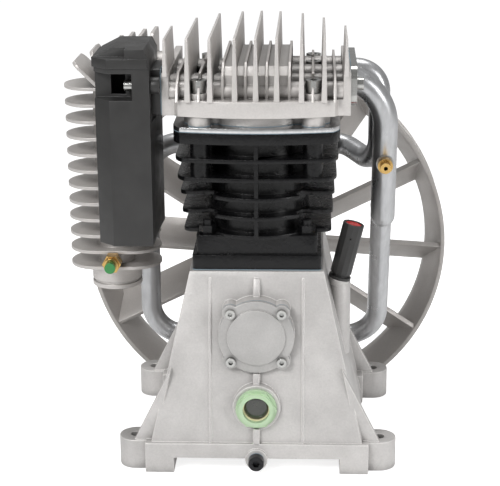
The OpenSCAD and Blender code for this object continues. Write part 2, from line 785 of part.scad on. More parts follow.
lp_pin_y0 = lp_y - lp_pin_len / 2;
hp_pin_y0 = hp_y - hp_pin_len / 2;
shaft_end = hub_y1 - washer_t;
module crankshaft() color("#8d8f90") at_crank() difference() {
    union() {
        ycyl(front_bearing_ri, -cover_y + cut, -cover_y + front_bearing_w + cut);
        ycyl(front_bearing_ri + 3, -cover_y + front_bearing_w + cut, lp_pin_y0);
        crank_web(lp_pin_y0 - web_t, web_t, true);
        translate([0, 0, crank_throw]) ycyl(crank_pin_r, lp_pin_y0 - cut, lp_pin_y0 + lp_pin_len + cut);
        crank_web(lp_pin_y0 + lp_pin_len, web_t, true);
        ycyl(crank_pin_r + 3, lp_pin_y0 + lp_pin_len, hp_pin_y0);
        crank_web(hp_pin_y0 - hp_web_t, hp_web_t, false);
        translate([0, 0, -crank_throw]) ycyl(crank_pin_r, hp_pin_y0 - cut, hp_pin_y0 + hp_pin_len + cut);
        crank_web(hp_pin_y0 + hp_pin_len, hp_web_t, false);
        ycyl(rear_bearing_ri + 3, hp_pin_y0 + hp_pin_len, rear_bearing_y);
        ycyl(rear_bearing_ri, rear_bearing_y, rear_bearing_y + rear_bearing_w + case_wall);
        ycyl(shaft_step_r + 2, rear_bearing_y + rear_bearing_w, hub_y0 - cut);
        ycyl(seat_r, hub_y0 - 2 * cut, shaft_end);
    }
    ycyl(wheel_bolt_r + run_fit, shaft_end - wheel_bolt_len - cut, shaft_end + cut);
}

// The rod's outline in the plane across the crank, from the split of its big end upward
module rod_form(pin_w) {
    w = pin_w * big_end_w_share;
    difference() {
        union() {
            intersection() {
                ycyl(big_end_r, -w / 2, w / 2);
                box(-big_end_r, big_end_r, -w, w, 0, big_end_r);
            }
            box(-rod_ear_w / 2, rod_ear_w / 2, -w / 3, w / 3, 0, rod_ear_h);
            translate([0, 0, rod_len]) ycyl(small_end_r, -rod_shank_t / 2, rod_shank_t / 2);
            box(-rod_shank_w / 2, rod_shank_w / 2, -rod_shank_t / 2, rod_shank_t / 2, big_end_r - rod_bolt_r, rod_len - wrist_r - cut);
        }
        ycyl(crank_pin_r + rod_gap, -w, w);
        translate([0, 0, rod_len]) ycyl(wrist_r + rod_gap, -w, w);
        for (s = [-1, 1]) {
            translate([s * rod_bolt_at, 0]) zcyl(rod_bolt_r + thread_fit, -cut, rod_ear_h - cut);
            box(-rod_shank_w / 4, rod_shank_w / 4, s > 0 ? rod_shank_t / 6 : -rod_shank_t, s > 0 ? rod_shank_t : -rod_shank_t / 6,
                big_end_r + rod_bolt_r, rod_len - small_end_r - rod_bolt_r);
        }
    }
}

module cap_form(pin_w) {
    w = pin_w * big_end_w_share;
    difference() {
        union() {
            intersection() {
                ycyl(big_end_r, -w / 2, w / 2);
                box(-big_end_r, big_end_r, -w, w, -big_end_r, 0);
            }
            box(-rod_ear_w / 2, rod_ear_w / 2, -w / 3, w / 3, -rod_ear_h, 0);
            zcyl(rod_bolt_r, -big_end_r - dipper_len, -crank_pin_r - cut);
        }
        ycyl(crank_pin_r + rod_gap, -w, w);
        for (s = [-1, 1]) translate([s * rod_bolt_at, 0]) {
            zcyl(rod_bolt_r + loose_fit, -rod_ear_h - cut, cut);
            zcyl(rod_bolt_head_r + loose_fit, -big_end_r, -rod_ear_h);
        }
    }
}

module at_lp_pin() translate([0, lp_y, crank_z + crank_throw]) children();
module at_hp_pin() translate([0, hp_y, crank_z - crank_throw]) children();
module low_rod() color("#a9abab") at_lp_pin() rod_form(lp_pin_len);
module high_rod() color("#a9abab") at_hp_pin() rod_form(hp_pin_len);
module low_rod_cap() color("#9b9d9d") at_lp_pin() cap_form(lp_pin_len);
module high_rod_cap() color("#9b9d9d") at_hp_pin() cap_form(hp_pin_len);

module rod_bolt() {
    zcyl(rod_bolt_r, -rod_ear_h, rod_ear_h - 3 * cut);
    zbar(rod_bolt_head_r, 6, -rod_ear_h - rod_bolt_head_h, -rod_ear_h);
}
module rod_bolts() color("#55585a") {
    at_lp_pin() for (s = [-1, 1]) translate([s * rod_bolt_at, 0]) rod_bolt();
    at_hp_pin() for (s = [-1, 1]) translate([s * rod_bolt_at, 0]) rod_bolt();
}

lp_wrist_z = crank_z + crank_throw + rod_len;
hp_wrist_z = crank_z - crank_throw + rod_len;
module piston(bore_r, crown_h, skirt_h) difference() {
    zcyl(bore_r - piston_gap, -skirt_h, crown_h);
    difference() {
        zcyl(bore_r - piston_gap - piston_wall, -skirt_h - cut, crown_h - piston_top_t);
        for (s = [-1, 1]) translate([0, s * bore_r, 0])
            ycyl(wrist_r + wrist_hole_r, min(0, s * (boss_gap - bore_r)), max(0, s * (boss_gap - bore_r)));
    }
    ycyl(wrist_r + thread_fit, -bore_r, bore_r);
    for (i = [1:3]) translate([0, 0, crown_h - i * ring_pitch]) difference() {
        zcyl(bore_r + cut, 0, ring_t);
        zcyl(bore_r - ring_w - 2 * ring_gap, -cut, ring_t + cut);
    }
}
module low_piston() color("#b9bbbb") translate([0, lp_y, lp_wrist_z]) piston(lp_bore_r, lp_crown_h, lp_skirt_h);
module high_piston() color("#b9bbbb") translate([0, hp_y, hp_wrist_z]) piston(hp_bore_r, hp_crown_h, hp_skirt_h);

module ring_set(bore_r, crown_h) for (i = [1:3]) translate([0, 0, crown_h - i * ring_pitch]) difference() {
    zcyl(bore_r - ring_gap, ring_gap, ring_t - ring_gap);
    zcyl(bore_r - ring_w, 0, ring_t);
    box(0, 2 * bore_r, -loose_fit, loose_fit, -cut, ring_t + cut);
}
module piston_rings() color("#4b4d4f") {
    translate([0, lp_y, lp_wrist_z]) ring_set(lp_bore_r, lp_crown_h);
    translate([0, hp_y, hp_wrist_z]) ring_set(hp_bore_r, hp_crown_h);
}

module wrist_pin(bore_r) difference() {
    ycyl(wrist_r, -bore_r + wrist_hole_r / 2, bore_r - wrist_hole_r / 2);
    ycyl(wrist_hole_r, -bore_r, bore_r);
}
module wrist_pins() color("#c2c4c5") {
    translate([0, lp_y, lp_wrist_z]) wrist_pin(lp_bore_r);
    translate([0, hp_y, hp_wrist_z]) wrist_pin(hp_bore_r);
}

/* Cylinder block and valve plate */
flange_front_y = -case_top_front + 4;
flange_back_y = case_top_back - 2;
module bores(r_more, z0, z1) {
    translate([0, lp_y]) zcyl(lp_bore_r + r_more, z0, z1);
    translate([0, hp_y]) zcyl(hp_bore_r + r_more, z0, z1);
}

module block_gasket() color("#4a4a48") difference() {
    slab(case_top_z, case_top_z + gasket_t)
        round_rect(-block_flange_w / 2, block_flange_w / 2, flange_front_y, flange_back_y, block_rib_t);
    bores(skirt_wall + loose_fit, case_top_z - cut, case_top_z + 2 * gasket_t);
    at_deck_studs() zcyl(stud_r + loose_fit, case_top_z - cut, case_top_z + 2 * gasket_t);
}

// A rounded outline with bowed front and back edges
module bowed_plan(half_w, front, back, r, bow) intersection() {
    round_rect(-half_w, half_w, -front, back, r);
    translate([0, bow - front]) circle(bow);
    translate([0, back - bow]) circle(bow);
}
module deck_plan(inset)
    bowed_plan(block_half_w - inset, block_front - inset, block_back - inset, block_corner_r, block_bow_r);

// Outline of a lower fin: the barrels' fins in the middle and an ear at each side
module lobe_plan(inset) {
    intersection() {
        union() {
            translate([0, lp_y]) circle(block_front + lp_y - inset);
            translate([0, hp_y]) circle(block_back - hp_y - inset);
        }
        translate([-mid_fin_w, -block_front]) square([2 * mid_fin_w, block_front + block_back]);
    }
    round_rect(-block_half_w + inset + lobe_r / 2, block_half_w - inset - lobe_r / 2, -lobe_front, lobe_back, lobe_r);
}

module cylinder_block() color("#1b1b1c") difference() {
    union() {
        slab(case_top_z + gasket_t, flange_top_z)
            round_rect(-block_flange_w / 2, block_flange_w / 2, flange_front_y, flange_back_y, block_rib_t);
        slab(flange_top_z - cut, neck_top_z) round_rect(-block_flange_w / 2 + neck_inset, block_flange_w / 2 - neck_inset,
            flange_front_y + neck_inset, flange_back_y - neck_inset, block_rib_t);
        bores(skirt_wall, skirt_low_z, flange_top_z);
        bores(barrel_wall, flange_top_z, block_top_z);
        slab(block_top_z - deck_t, block_top_z) deck_plan(0);
        for (i = [4, 3]) slab(fin_low_z + i * fin_pitch, fin_low_z + i * fin_pitch + block_fin_t)
            deck_plan((5 - i) * fin_taper);
        for (i = [0:2]) slab(fin_low_z + i * fin_pitch, fin_low_z + i * fin_pitch + block_fin_t)
            lobe_plan((2 - i) * fin_taper);
        at_head_bolts() zcyl(column_boss_r, fin_low_z + 3 * fin_pitch, block_top_z);
        box(-block_rib_t / 2, block_rib_t / 2, -block_front + 2, lp_y, neck_top_z - cut, block_top_z - cut);
        box(-block_rib_t / 2, block_rib_t / 2, hp_y, block_back - 2, neck_top_z - cut, block_top_z - cut);
    }
    bores(0, skirt_low_z - cut, block_top_z + cut);
    at_head_bolts() zcyl(head_bolt_r + thread_fit, block_top_z - head_bolt_grip, block_top_z + cut);
    at_deck_studs() zcyl(stud_r + loose_fit, case_top_z, neck_top_z + cut);
    at_deck_studs() zcyl(nut_r + loose_fit + cut, neck_top_z, fin_low_z + 3 * fin_pitch - block_fin_t);
}

module block_studs() color("#b7b9ba") at_deck_studs() {
    zcyl(stud_r, case_top_z - stud_grip + cut, neck_top_z + nut_h + stud_end);
    zbar(nut_r, 6, neck_top_z, neck_top_z + nut_h);
}

plate_z = block_top_z + plate_gasket_t;
module valve_plate_gasket() color("#50504e") difference() {
    slab(block_top_z, plate_z) deck_plan(0);
    bores(cut, block_top_z - cut, plate_z + cut);
    at_head_bolts() zcyl(head_bolt_hole_r, block_top_z - cut, plate_z + cut);
}

// The valve ports, two of each kind per cylinder; side is -1 for inlet and 1 for outlet
module at_lp_ports(side) for (dy = [-lp_port_gap / 2, lp_port_gap / 2]) translate([side * lp_port_x, lp_y + dy]) children();
module at_hp_ports(side) translate([side * hp_port_x, hp_y]) children();

module valve_plate() color("#b9b6ae") difference() {
    slab(plate_z, plate_z + valve_plate_t) deck_plan(0);
    for (side = [-1, 1]) {
        at_lp_ports(side) zcyl(lp_port_r, plate_z - cut, plate_z + valve_plate_t + cut);
        at_hp_ports(side) zcyl(hp_port_r, plate_z - cut, plate_z + valve_plate_t + cut);
    }
    at_head_bolts() zcyl(head_bolt_hole_r, plate_z - cut, plate_z + valve_plate_t + cut);
}

module reed(w, l, z) slab(z, z + reed_t) round_rect(-w / 2, w / 2, -l / 2, l / 2, w / 3);
module reed_valves() color("#7f8487") {
    translate([-lp_port_x, lp_y]) reed(reed_w, lp_port_gap + 2 * reed_w, plate_z - reed_t);
    translate([lp_port_x, lp_y]) reed(reed_w, lp_port_gap + 2 * reed_w, plate_z + valve_plate_t);
    translate([-hp_port_x, hp_y]) reed(hp_reed_w, hp_reed_l, plate_z - reed_t);
    translate([hp_port_x, hp_y]) reed(hp_reed_w, hp_reed_l, plate_z + valve_plate_t);
}

/* Cylinder head */
skirt_z = plate_z + valve_plate_t + plate_gasket_t;
head_plate_z = head_z + head_plate_t;
module head_plan() bowed_plan(head_half_w, block_front, head_back, head_corner_r, head_bow_r);

module skirt_plan() {
    round_rect(-head_half_w + skirt_inset, head_half_w - skirt_inset, -block_front + 2 * skirt_inset,
        head_back - 2 * skirt_inset, skirt_inset);
    intersection() {
        translate([0, lp_y]) circle(skirt_bulge_r);
        translate([-bulge_half, -block_front]) square([2 * bulge_half, block_front]);
    }
}

// The four gas chambers that open downward onto the valve plate
module chamber_plan(side, cy, r) intersection() {
    translate([0, cy]) circle(r);
    translate([side > 0 ? chamber_gap / 2 : -r - chamber_gap / 2, cy - r]) square([r, 2 * r]);
}

module chambers(z0, z1) for (side = [-1, 1]) {
    slab(z0, z1) chamber_plan(side, lp_y, lp_chamber_r);
    slab(z0, z1) chamber_plan(side, hp_y, hp_chamber_r);
}

module head_gasket() color("#50504e") difference() {
    slab(plate_z + valve_plate_t, skirt_z) {
        skirt_plan();
        at_head_bolts() circle(head_boss_r);
    }
    chambers(plate_z, head_z);
    at_head_bolts() zcyl(head_bolt_hole_r, plate_z, head_z);
}

// A tall fin, thicker at its root, from the front of the head back to a place
module tall_fin(x, t, z0, z1, y0, y1) prism_y(y0, y1) polygon([[x - t / 2, z0], [x + t / 2, z0],
    [x + t * tall_fin_top_share / 2, z1], [x - t * tall_fin_top_share / 2, z1]]);

module hump_form(rise) polygon([[-hump_front - rise, head_plate_z - cut], [-hump_front - rise, hump_z],
    [-hump_front + hump_slope, hump_top_z + rise], [hump_back - hump_slope, hump_top_z + rise],
    [hump_back + rise, hump_z], [hump_back + rise, head_plate_z - cut]]);

module low_rib_form() polygon([[-block_front + low_rib_rise, head_plate_z - cut], [-hump_front - 2 * rail_r / 3, port_z + rail_r],
    [-hump_front + rail_r, port_z + rail_r + 2 * low_rib_rise], [hump_back - rail_r, port_z + rail_r + 2 * low_rib_rise],
    [head_back - low_rib_rise, head_plate_z - cut]]);

module side_wall(side) {
    x0 = side * wall_x;
    x1 = side * (wall_x - wall_t);
    box(min(x0, x1), max(x0, x1), -wall_front, wall_back, head_z, wall_top_z);
    xf = side * (wall_x - wall_t / 2 - 1);
    tall_fin(xf, wall_fin_t, wall_top_z - cut, head_fin_z, -block_front + 2, wall_fin_back);
    x2 = side * (head_half_w - 2 * wall_t);
    box(min(x2, x0), max(x2, x0), -wall_front, wall_back, head_z, head_plate_z);
}

module at_ports(ys) for (y = ys) translate([0, y, port_z]) children();

module cylinder_head() color("#cfccc6") difference() {
    union() {
        slab(head_z, head_plate_z) head_plan();
        slab(skirt_z, head_z + cut) skirt_plan();
        for (side = [-1, 1]) side_wall(side);
        for (i = [0:6]) tall_fin(tall_fin_shares[i] * head_fin_x, head_fin_t, head_plate_z - cut, head_fin_z,
            -block_front + (abs(i - 3) > 2 ? 4 : 2), tall_fin_backs[i]);
        for (x = low_rib_xs) prism_x(x - low_rib_t / 2, x + low_rib_t / 2)
            if (abs(x) < hump_x + cut) hump_form(low_rib_rise); else low_rib_form();
        prism_x(-hump_x, hump_x) hump_form(0);
        at_ports(rail_ys) xcyl(rail_r, -wall_x + wall_t / 2, wall_x - wall_t / 2);
        at_ports([lp_in_y]) xcyl(passage_r + 4, -wall_x + cut, -hump_x + cut);
        at_ports([lp_out_y]) xcyl(passage_r + 4, hump_x - cut, wall_x - cut);
        at_ports([hp_in_y]) xcyl(passage_r + 4, hump_x - cut, wall_x - cut);
        at_ports([hp_out_y]) xcyl(passage_r + 4, -wall_x + cut, -hump_x + cut);
        at_head_bolts() zcyl(head_boss_r, skirt_z, bolt_seat_z);
    }
    chambers(skirt_z - cut, chamber_top_z);
    at_ports([lp_in_y]) xcyl(passage_r, -wall_x - cut, -lp_port_x);
    at_ports([lp_out_y]) xcyl(passage_r, lp_port_x, wall_x + cut);
    at_ports([hp_in_y]) xcyl(passage_r, hp_port_x, wall_x + cut);
    at_ports([hp_out_y]) xcyl(passage_r, -wall_x - cut, -hp_port_x);
    for (p = [[-lp_port_x, lp_in_y + feed_in], [lp_port_x, lp_out_y - feed_in]])
        translate([p.x, p.y]) zcyl(passage_r, chamber_top_z - cut, port_z + cut);
    for (p = [[-hp_feed_x, hp_out_y + hp_feed_in], [hp_feed_x, hp_in_y]])
        translate([p.x, p.y]) zcyl(hp_feed_r, chamber_top_z - cut, port_z);
    at_head_bolts() zcyl(head_bolt_hole_r, skirt_z - cut, head_fin_z);
    at_head_bolts() zcyl(head_bolt_head_r + loose_fit, bolt_seat_z, head_fin_z + cut);
    for (y = flange_bolt_ys) translate([0, y, port_z]) xcyl(flange_bolt_r + thread_fit, wall_x - 2 * wall_t, wall_x + cut);
    for (dy = [-duct_bolt_at, duct_bolt_at]) translate([0, column_y + dy, duct_z]) xcyl(duct_bolt_r + thread_fit, -wall_x - cut, -wall_x + 2 * wall_t);
    at_filter_screws() xcyl(small_screw_r + thread_fit, -wall_x - cut, -wall_x + small_screw_grip);
}
bolt_seat_z = head_plate_z + 6;

module head_bolts() color("#8f9494") at_head_bolts() translate([0, 0, bolt_seat_z])
    cap_screw(head_bolt_r, head_bolt_head_r, head_bolt_head_h, bolt_seat_z - block_top_z + head_bolt_grip - cut);

/* Pipes on the right */
module flange_plan() round_rect(-flange_front, flange_back, flange_low_z, flange_top, flange_corner_r);
module at_flange_bolts(x) for (y = flange_bolt_ys) translate([x, y, port_z]) children();

module pipe_flange_gasket() color("#5f8fa3") difference() {
    prism_x(wall_x, wall_x + gasket_t) flange_plan();
    at_ports([lp_out_y, hp_in_y]) xcyl(passage_r + loose_fit, wall_x - cut, flange_x);
    at_flange_bolts(0) xcyl(flange_bolt_r + loose_fit, wall_x - cut, flange_x);
}

module pipe_flange() color("#b4b7b8") difference() {
    prism_x(wall_x + gasket_t, flange_x) flange_plan();
    at_ports([lp_out_y, hp_in_y]) xcyl(passage_r, wall_x, flange_x + cut);
    at_flange_bolts(0) xcyl(flange_bolt_r + loose_fit, wall_x, flange_x + cut);
}

module pipe_flange_bolts() color("#9aa0a2") at_flange_bolts(flange_x) rotate([0, 90, 0])
    cap_screw(flange_bolt_r, flange_bolt_head_r, flange_bolt_head_h, flange_t + gasket_t + 2 * wall_t - cut);

// Round bar along straight runs from point to point, with a bend of its own radius at each inner point.
// A bend is a little fuller than the straights that lap into it, and the ends run on by extra.
module run(points, bends, r, extra) {
    last = len(points) - 1;
    for (i = [0:last - 1]) {
        d = unit(points[i + 1] - points[i]);
        a = points[i] + d * (i == 0 ? -extra : tangent(points, bends, i) - bend_lap);
        b = points[i + 1] - d * (i + 1 == last ? -extra : tangent(points, bends, i + 1) - bend_lap);
        frame(a, side_of(d), d) cylinder(r = r, h = norm(b - a));
    }
    for (i = [1:1:last - 1]) {
        d1 = unit(points[i] - points[i - 1]);
        d2 = unit(points[i + 1] - points[i]);
        mid = points[i] + unit(d2 - d1) * bends[i] / cos(turn(points, i) / 2);
        u = unit(points[i] - d1 * tangent(points, bends, i) - mid);
        frame(mid, u, cross(u, d1)) rotate_extrude(angle = turn(points, i))
            translate([bends[i], 0]) circle(r + bend_swell);
    }
}
function turn(p, i) = acos(unit(p[i] - p[i - 1]) * unit(p[i + 1] - p[i]));
function tangent(p, bends, i) = bends[i] * tan(turn(p, i) / 2);

// Places its child with its own X and Z along two given directions
module frame(at, x, z) {
    y = cross(z, x);
    multmatrix([[x.x, y.x, z.x, at.x], [x.y, y.y, z.y, at.y], [x.z, y.z, z.z, at.z], [0, 0, 0, 1]]) children();
}

// Course of the first pipe: out of the flange, over and down with a slight lean to the back
big_back = 3 * flange_t;
big_points = [[flange_x - big_back, lp_out_y, big_turn_z + (big_turn_x - flange_x + big_back) * tan(30)],
    [big_turn_x, lp_out_y, big_turn_z], [big_turn_x, big_end_y, big_end_z]];
big_bends = [0, big_bend_r, 0];
big_lean = unit(big_points[2] - big_points[1]);
function on_big(z) = big_points[1] + big_lean * (z - big_turn_z) / big_lean.z;

// Flat seats on the first pipe, for the intercooler pipe at the back and the fitting at the front
seat_out = big_pipe_r + seat_rise;
join_at = on_big(join_z);
module big_seat(z, r, y0, y1) translate(on_big(z)) ycyl(r, y0, y1);
module first_stage_pipe() color("#a9acad") difference() {
    union() {
        run(big_points, big_bends, big_pipe_r, 0);
        translate(big_points[2]) sphere(big_pipe_r + bend_swell);
        big_seat(join_z, cooler_pipe_r + seat_rise / 2, 0, seat_out);
        big_seat(fitting_z, fitting_r + seat_rise / 2, -seat_out, 0);
    }
    box(-cut, flange_x, -block_front, block_back, head_z - 2 * wall_t, head_fin_z);
    run(big_points, big_bends, big_pipe_r - pipe_wall, 0);
    big_seat(join_z, cooler_pipe_r - pipe_wall, 0, seat_out + cut);
    big_seat(fitting_z, fitting_nose_r + thread_fit, -seat_out - cut, 0);
}

cooler_points = [join_at + [0, seat_out, 0], join_at + [0, join_out, 0], [cooler_x, cooler_y, cooler_low_z],
    [-cooler_x, cooler_y, cooler_low_z], [-cooler_x, cooler_y, cooler_high_z], [j_turn_x, cooler_y, cooler_high_z],
    [j_up_x, hp_in_y, j_low_z], [j_up_x, hp_in_y, port_z], [flange_x, hp_in_y, port_z]];
cooler_bends = [0, join_bend_r, u_bend_r, u_bend_r, u_bend_r, j_bend_r, j_bend_r, j_bend_r, 0];
module intercooler_pipe() color("#a9acad") difference() {
    run(cooler_points, cooler_bends, cooler_pipe_r, 0);
    run(cooler_points, cooler_bends, cooler_pipe_r - pipe_wall, cut);
}

module pipe_fitting() color("#c59a45") translate(on_big(fitting_z) - [0, seat_out, 0]) difference() {
    union() {
        ycyl(fitting_r, -fitting_len, 0);
        ycyl(fitting_nose_r, -fitting_len - fitting_nose_len, seat_rise + pipe_wall);
    }
    ycyl(fitting_hole_r, -2 * fitting_len - cut, fitting_len);
}

/* Intake filter on the left */
left_x = -wall_x - gasket_t;
elbow_x = -filter_right;
module elbow_plan() round_rect(-elbow_block_front, -elbow_block_back, elbow_low_z, elbow_top_z, flange_corner_r / 3);
module at_filter_screws() for (y = [-elbow_block_front + elbow_screw_in, -elbow_block_back - elbow_screw_in])
    translate([0, y, port_z]) children();

module filter_gasket() color("#4f4f4d") difference() {
    prism_x(left_x, -wall_x) elbow_plan();
    at_ports([lp_in_y]) xcyl(passage_r + loose_fit, left_x - cut, -wall_x + cut);
    at_filter_screws() xcyl(small_screw_r + loose_fit, left_x - cut, -wall_x + cut);
}

module filter_elbow() color("#232325") difference() {
    union() {
        prism_x(elbow_x, left_x) elbow_plan();
        at_ports([lp_in_y]) xcyl(filter_duct_r, elbow_x - 2 * shell_t, elbow_x + cut);
        translate([0, bolt_y, filter_bolt_z]) xcyl(filter_bolt_head_r + shell_t, elbow_x, left_x);
    }
    at_ports([lp_in_y]) xcyl(passage_r, elbow_x - 3 * shell_t, left_x + cut);
    at_filter_screws() xcyl(small_screw_r + loose_fit, elbow_x - cut, left_x + cut);
    translate([0, bolt_y, filter_bolt_z]) xcyl(filter_bolt_r + thread_fit, elbow_x - cut, left_x + cut);
}

// Outline of the housing seen from above, with its cut corner and its flared right side
module filter_plan(inset, flare) polygon([[-filter_left + inset, -filter_back_y],
    [-filter_left + inset, -filter_front + facet_y + inset / 2], [-filter_left + facet_x + inset / 2, -filter_front + inset],
    [-filter_right - inset, -filter_front + inset], [-filter_right - inset + flare, -filter_back_y]]);

// Outline seen from the front, up to the hood's sloping left edge
module hood_plan(z0) polygon([[-filter_left, z0], [-filter_left, filter_top_z - hood_chamfer],
    [-filter_left + hood_chamfer * 2, filter_top_z], [-filter_right - hood_chamfer / 2, filter_top_z],
    [-filter_right, filter_top_z - hood_chamfer], [-filter_right, z0]]);

module filter_notch(more) box(-filter_left - cut, -notch_right + more, -filter_front - cut, -filter_front + notch_depth + more,
    notch_low_z - more, notch_top_z + more);

module filter_housing() color("#1f1f21") difference() {
    union() {
        slab(filter_low_z, filter_top_z - hood_chamfer) filter_plan(0, 0);
        slab(flare_low_z, flare_top_z) filter_plan(0, flare_out);
        slab(hood_low_z, filter_top_z - hood_chamfer) intersection() {
            translate([-hood_out, -hood_out]) filter_plan(0, 0);
            translate([-filter_left - hood_out, -filter_front - hood_out]) square([filter_left, filter_front - filter_back_y]);
        }
        prism_y(-filter_front, -filter_back_y) hood_plan(filter_top_z - hood_chamfer);
    }
    difference() {
        slab(filter_low_z + shell_t, filter_top_z - hood_chamfer - shell_t) filter_plan(shell_t, 0);
        filter_notch(shell_t);
    }
    box(-filter_left + shell_t, -filter_right - shell_t, -filter_back_y - shell_t, -filter_back_y + cut,
        filter_low_z + shell_t, filter_top_z - hood_chamfer - shell_t);
    filter_notch(0);
    translate([0, 0, filter_top_z - hood_chamfer]) box(-filter_left, -filter_left + facet_x * 2, -filter_front - cut,
        -filter_front + facet_y, 0, hood_chamfer + cut);
    box(-filter_left + facet_x, -notch_right - filter_bolt_head_h, -filter_front + notch_depth - cut, -filter_front + notch_depth + 2 * shell_t,
        notch_low_z + shell_t, notch_top_z - shell_t);
    box(-filter_left + facet_x * 2, -filter_right - facet_x / 2, -filter_front / 2 - filter_slot_w, -filter_front / 2,
        filter_top_z - shell_t / 2, filter_top_z + cut);
    at_ports([lp_in_y]) xcyl(filter_duct_r + loose_fit, -filter_right - 2 * shell_t, -filter_right + cut);
    at_filter_screws() xcyl(small_screw_r + loose_fit, -filter_right - 2 * shell_t, -filter_right + cut);
    translate([0, bolt_y, filter_bolt_z]) xcyl(filter_bolt_r + loose_fit, -notch_right - cut, -filter_right + cut);
}

module filter_back() color("#242427") union() {
    prism_y(-filter_back_y, -filter_back_y + filter_back_t) hood_plan(filter_low_z);
    box(-filter_left + shell_t + loose_fit, -filter_right - shell_t - loose_fit, -filter_back_y - shell_t,
        -filter_back_y + cut, filter_low_z + shell_t + loose_fit, filter_low_z + 3 * shell_t);
    box(-filter_left + shell_t + loose_fit, -filter_right - shell_t - loose_fit, -filter_back_y - shell_t,
        -filter_back_y + cut, filter_top_z - hood_chamfer - 3 * shell_t, filter_top_z - hood_chamfer - shell_t - loose_fit);
}

element_front = -filter_front + notch_depth + 3 * shell_t;
module filter_element() color("#b8ad92") difference() {
    box(-filter_left + shell_t + loose_fit, -filter_right - shell_t - loose_fit, element_front,
        -filter_back_y - shell_t - loose_fit, filter_low_z + shell_t, notch_low_z - shell_t - element_gap);
    box(-filter_left + 2 * facet_x, -filter_right - 2 * element_gap, element_front + element_gap,
        -filter_back_y - shell_t - element_gap, filter_low_z + 2 * element_gap, notch_low_z + cut);
}

module filter_bolt() color("#c9cccd") {
    translate([-notch_right, bolt_y, filter_bolt_z]) rotate([0, -90, 0])
        cap_screw(filter_bolt_r, filter_bolt_head_r, filter_bolt_head_h, notch_right + left_x - cut);
    at_filter_screws() translate([-filter_right - shell_t, 0, 0]) rotate([0, -90, 0])
        small_screw(filter_right + shell_t - wall_x + small_screw_grip - cut);
}

/* Aftercooler and its safety valve */
module duct_plan() {
    translate([column_y - duct_bolt_at, duct_z]) circle(duct_flange_h / 2 - gasket_t);
    translate([column_y + duct_bolt_at, duct_z]) circle(duct_flange_h / 2 - gasket_t);
    translate([column_y - duct_bolt_at, duct_z - duct_flange_h / 2 + gasket_t])
        square([2 * duct_bolt_at, duct_flange_h - 2 * gasket_t]);
    translate([column_y, duct_z]) circle(duct_r);
}
module at_duct_bolts() for (dy = [-duct_bolt_at, duct_bolt_at]) translate([0, column_y + dy, duct_z]) children();

module aftercooler_gasket() color("#4f4f4d") difference() {
    prism_x(left_x, -wall_x) duct_plan();
    translate([0, column_y, duct_z]) xcyl(passage_r + loose_fit, left_x - cut, -wall_x + cut);
    at_duct_bolts() xcyl(duct_bolt_r + loose_fit, left_x - cut, -wall_x + cut);
}

duct_points = [[left_x, column_y, duct_z], [-column_x, column_y, duct_z], [-column_x, column_y, delivery_low_z]];
duct_bends = [0, duct_bend_r, 0];
module column_fin_plan() {
    a = column_fin_a - column_fin_b;
    for (s = [-1, 1]) translate([-column_x + s * a, column_y]) circle(column_fin_b);
    translate([-column_x - a, column_y - column_fin_b]) square([2 * a, 2 * column_fin_b]);
}

// A fin that stands in the top one and fans out round the elbow
module fan_fin(x, angle, l) translate([x, 0, fan_z]) rotate([0, -angle, 0])
    prism_x(-column_fin_t / 2, column_fin_t / 2) {
        translate([column_y - fan_half, 0]) square([2 * fan_half, l - fan_corner_r]);
        translate([column_y - fan_half + fan_corner_r, 0]) square([2 * (fan_half - fan_corner_r), l]);
        for (s = [-1, 1]) translate([column_y + s * (fan_half - fan_corner_r), l - fan_corner_r]) circle(fan_corner_r);
    }

module aftercooler() color("#c6c8c8") difference() {
    union() {
        run(duct_points, duct_bends, column_r, 0);
        prism_x(left_x - duct_flange_t, left_x) duct_plan();
        for (i = [0:column_fins - 1]) slab(column_fin_low_z + i * column_pitch, column_fin_low_z + i * column_pitch + column_fin_t)
            column_fin_plan();
        for (i = [0:3]) fan_fin(-duct_fin_xs[i], 0, duct_fin_tops[i] - fan_z);
        for (i = [0, 1]) fan_fin(-column_x + elbow_fin_ins[i], elbow_fin_angles[i], elbow_fin_lens[i]);
        translate([-column_x, column_y]) {
            zcyl(delivery_r, delivery_low_z, column_fin_low_z - neck_cone_h);
            translate([0, 0, column_fin_low_z - neck_cone_h]) cylinder(r1 = delivery_r, r2 = column_fin_b, h = neck_cone_h + cut);
        }
        translate([-column_x, column_y, valve_z]) ycyl(valve_shank_r + column_fin_t / 2, -column_r - valve_boss_out, 0);
    }
    run(duct_points, duct_bends, column_r - column_wall, cut);
    translate([-column_x, column_y]) zcyl(delivery_hole_r, delivery_low_z - cut, delivery_low_z + delivery_depth);
    translate([-column_x, column_y, delivery_low_z + 2 * groove_ring_h]) rotate_extrude()
        translate([delivery_r - groove_ring_in, -groove_ring_h / 2]) square([2 * groove_ring_in, groove_ring_h]);
    translate([-column_x, column_y, valve_z]) ycyl(valve_shank_r + thread_fit, -column_fin_b, 0);
    at_duct_bolts() xcyl(duct_bolt_r + loose_fit, left_x - duct_flange_t - cut, left_x + cut);
    at_duct_bolts() xcyl(duct_bolt_head_r + loose_fit, left_x - 3 * duct_flange_t, left_x - duct_flange_t);
}

module aftercooler_bolts() color("#9aa0a2") at_duct_bolts() translate([left_x - duct_flange_t, 0, 0])
    rotate([0, -90, 0]) cap_screw(duct_bolt_r, duct_bolt_head_r, duct_bolt_head_h, duct_flange_t + gasket_t + 2 * wall_t - cut);

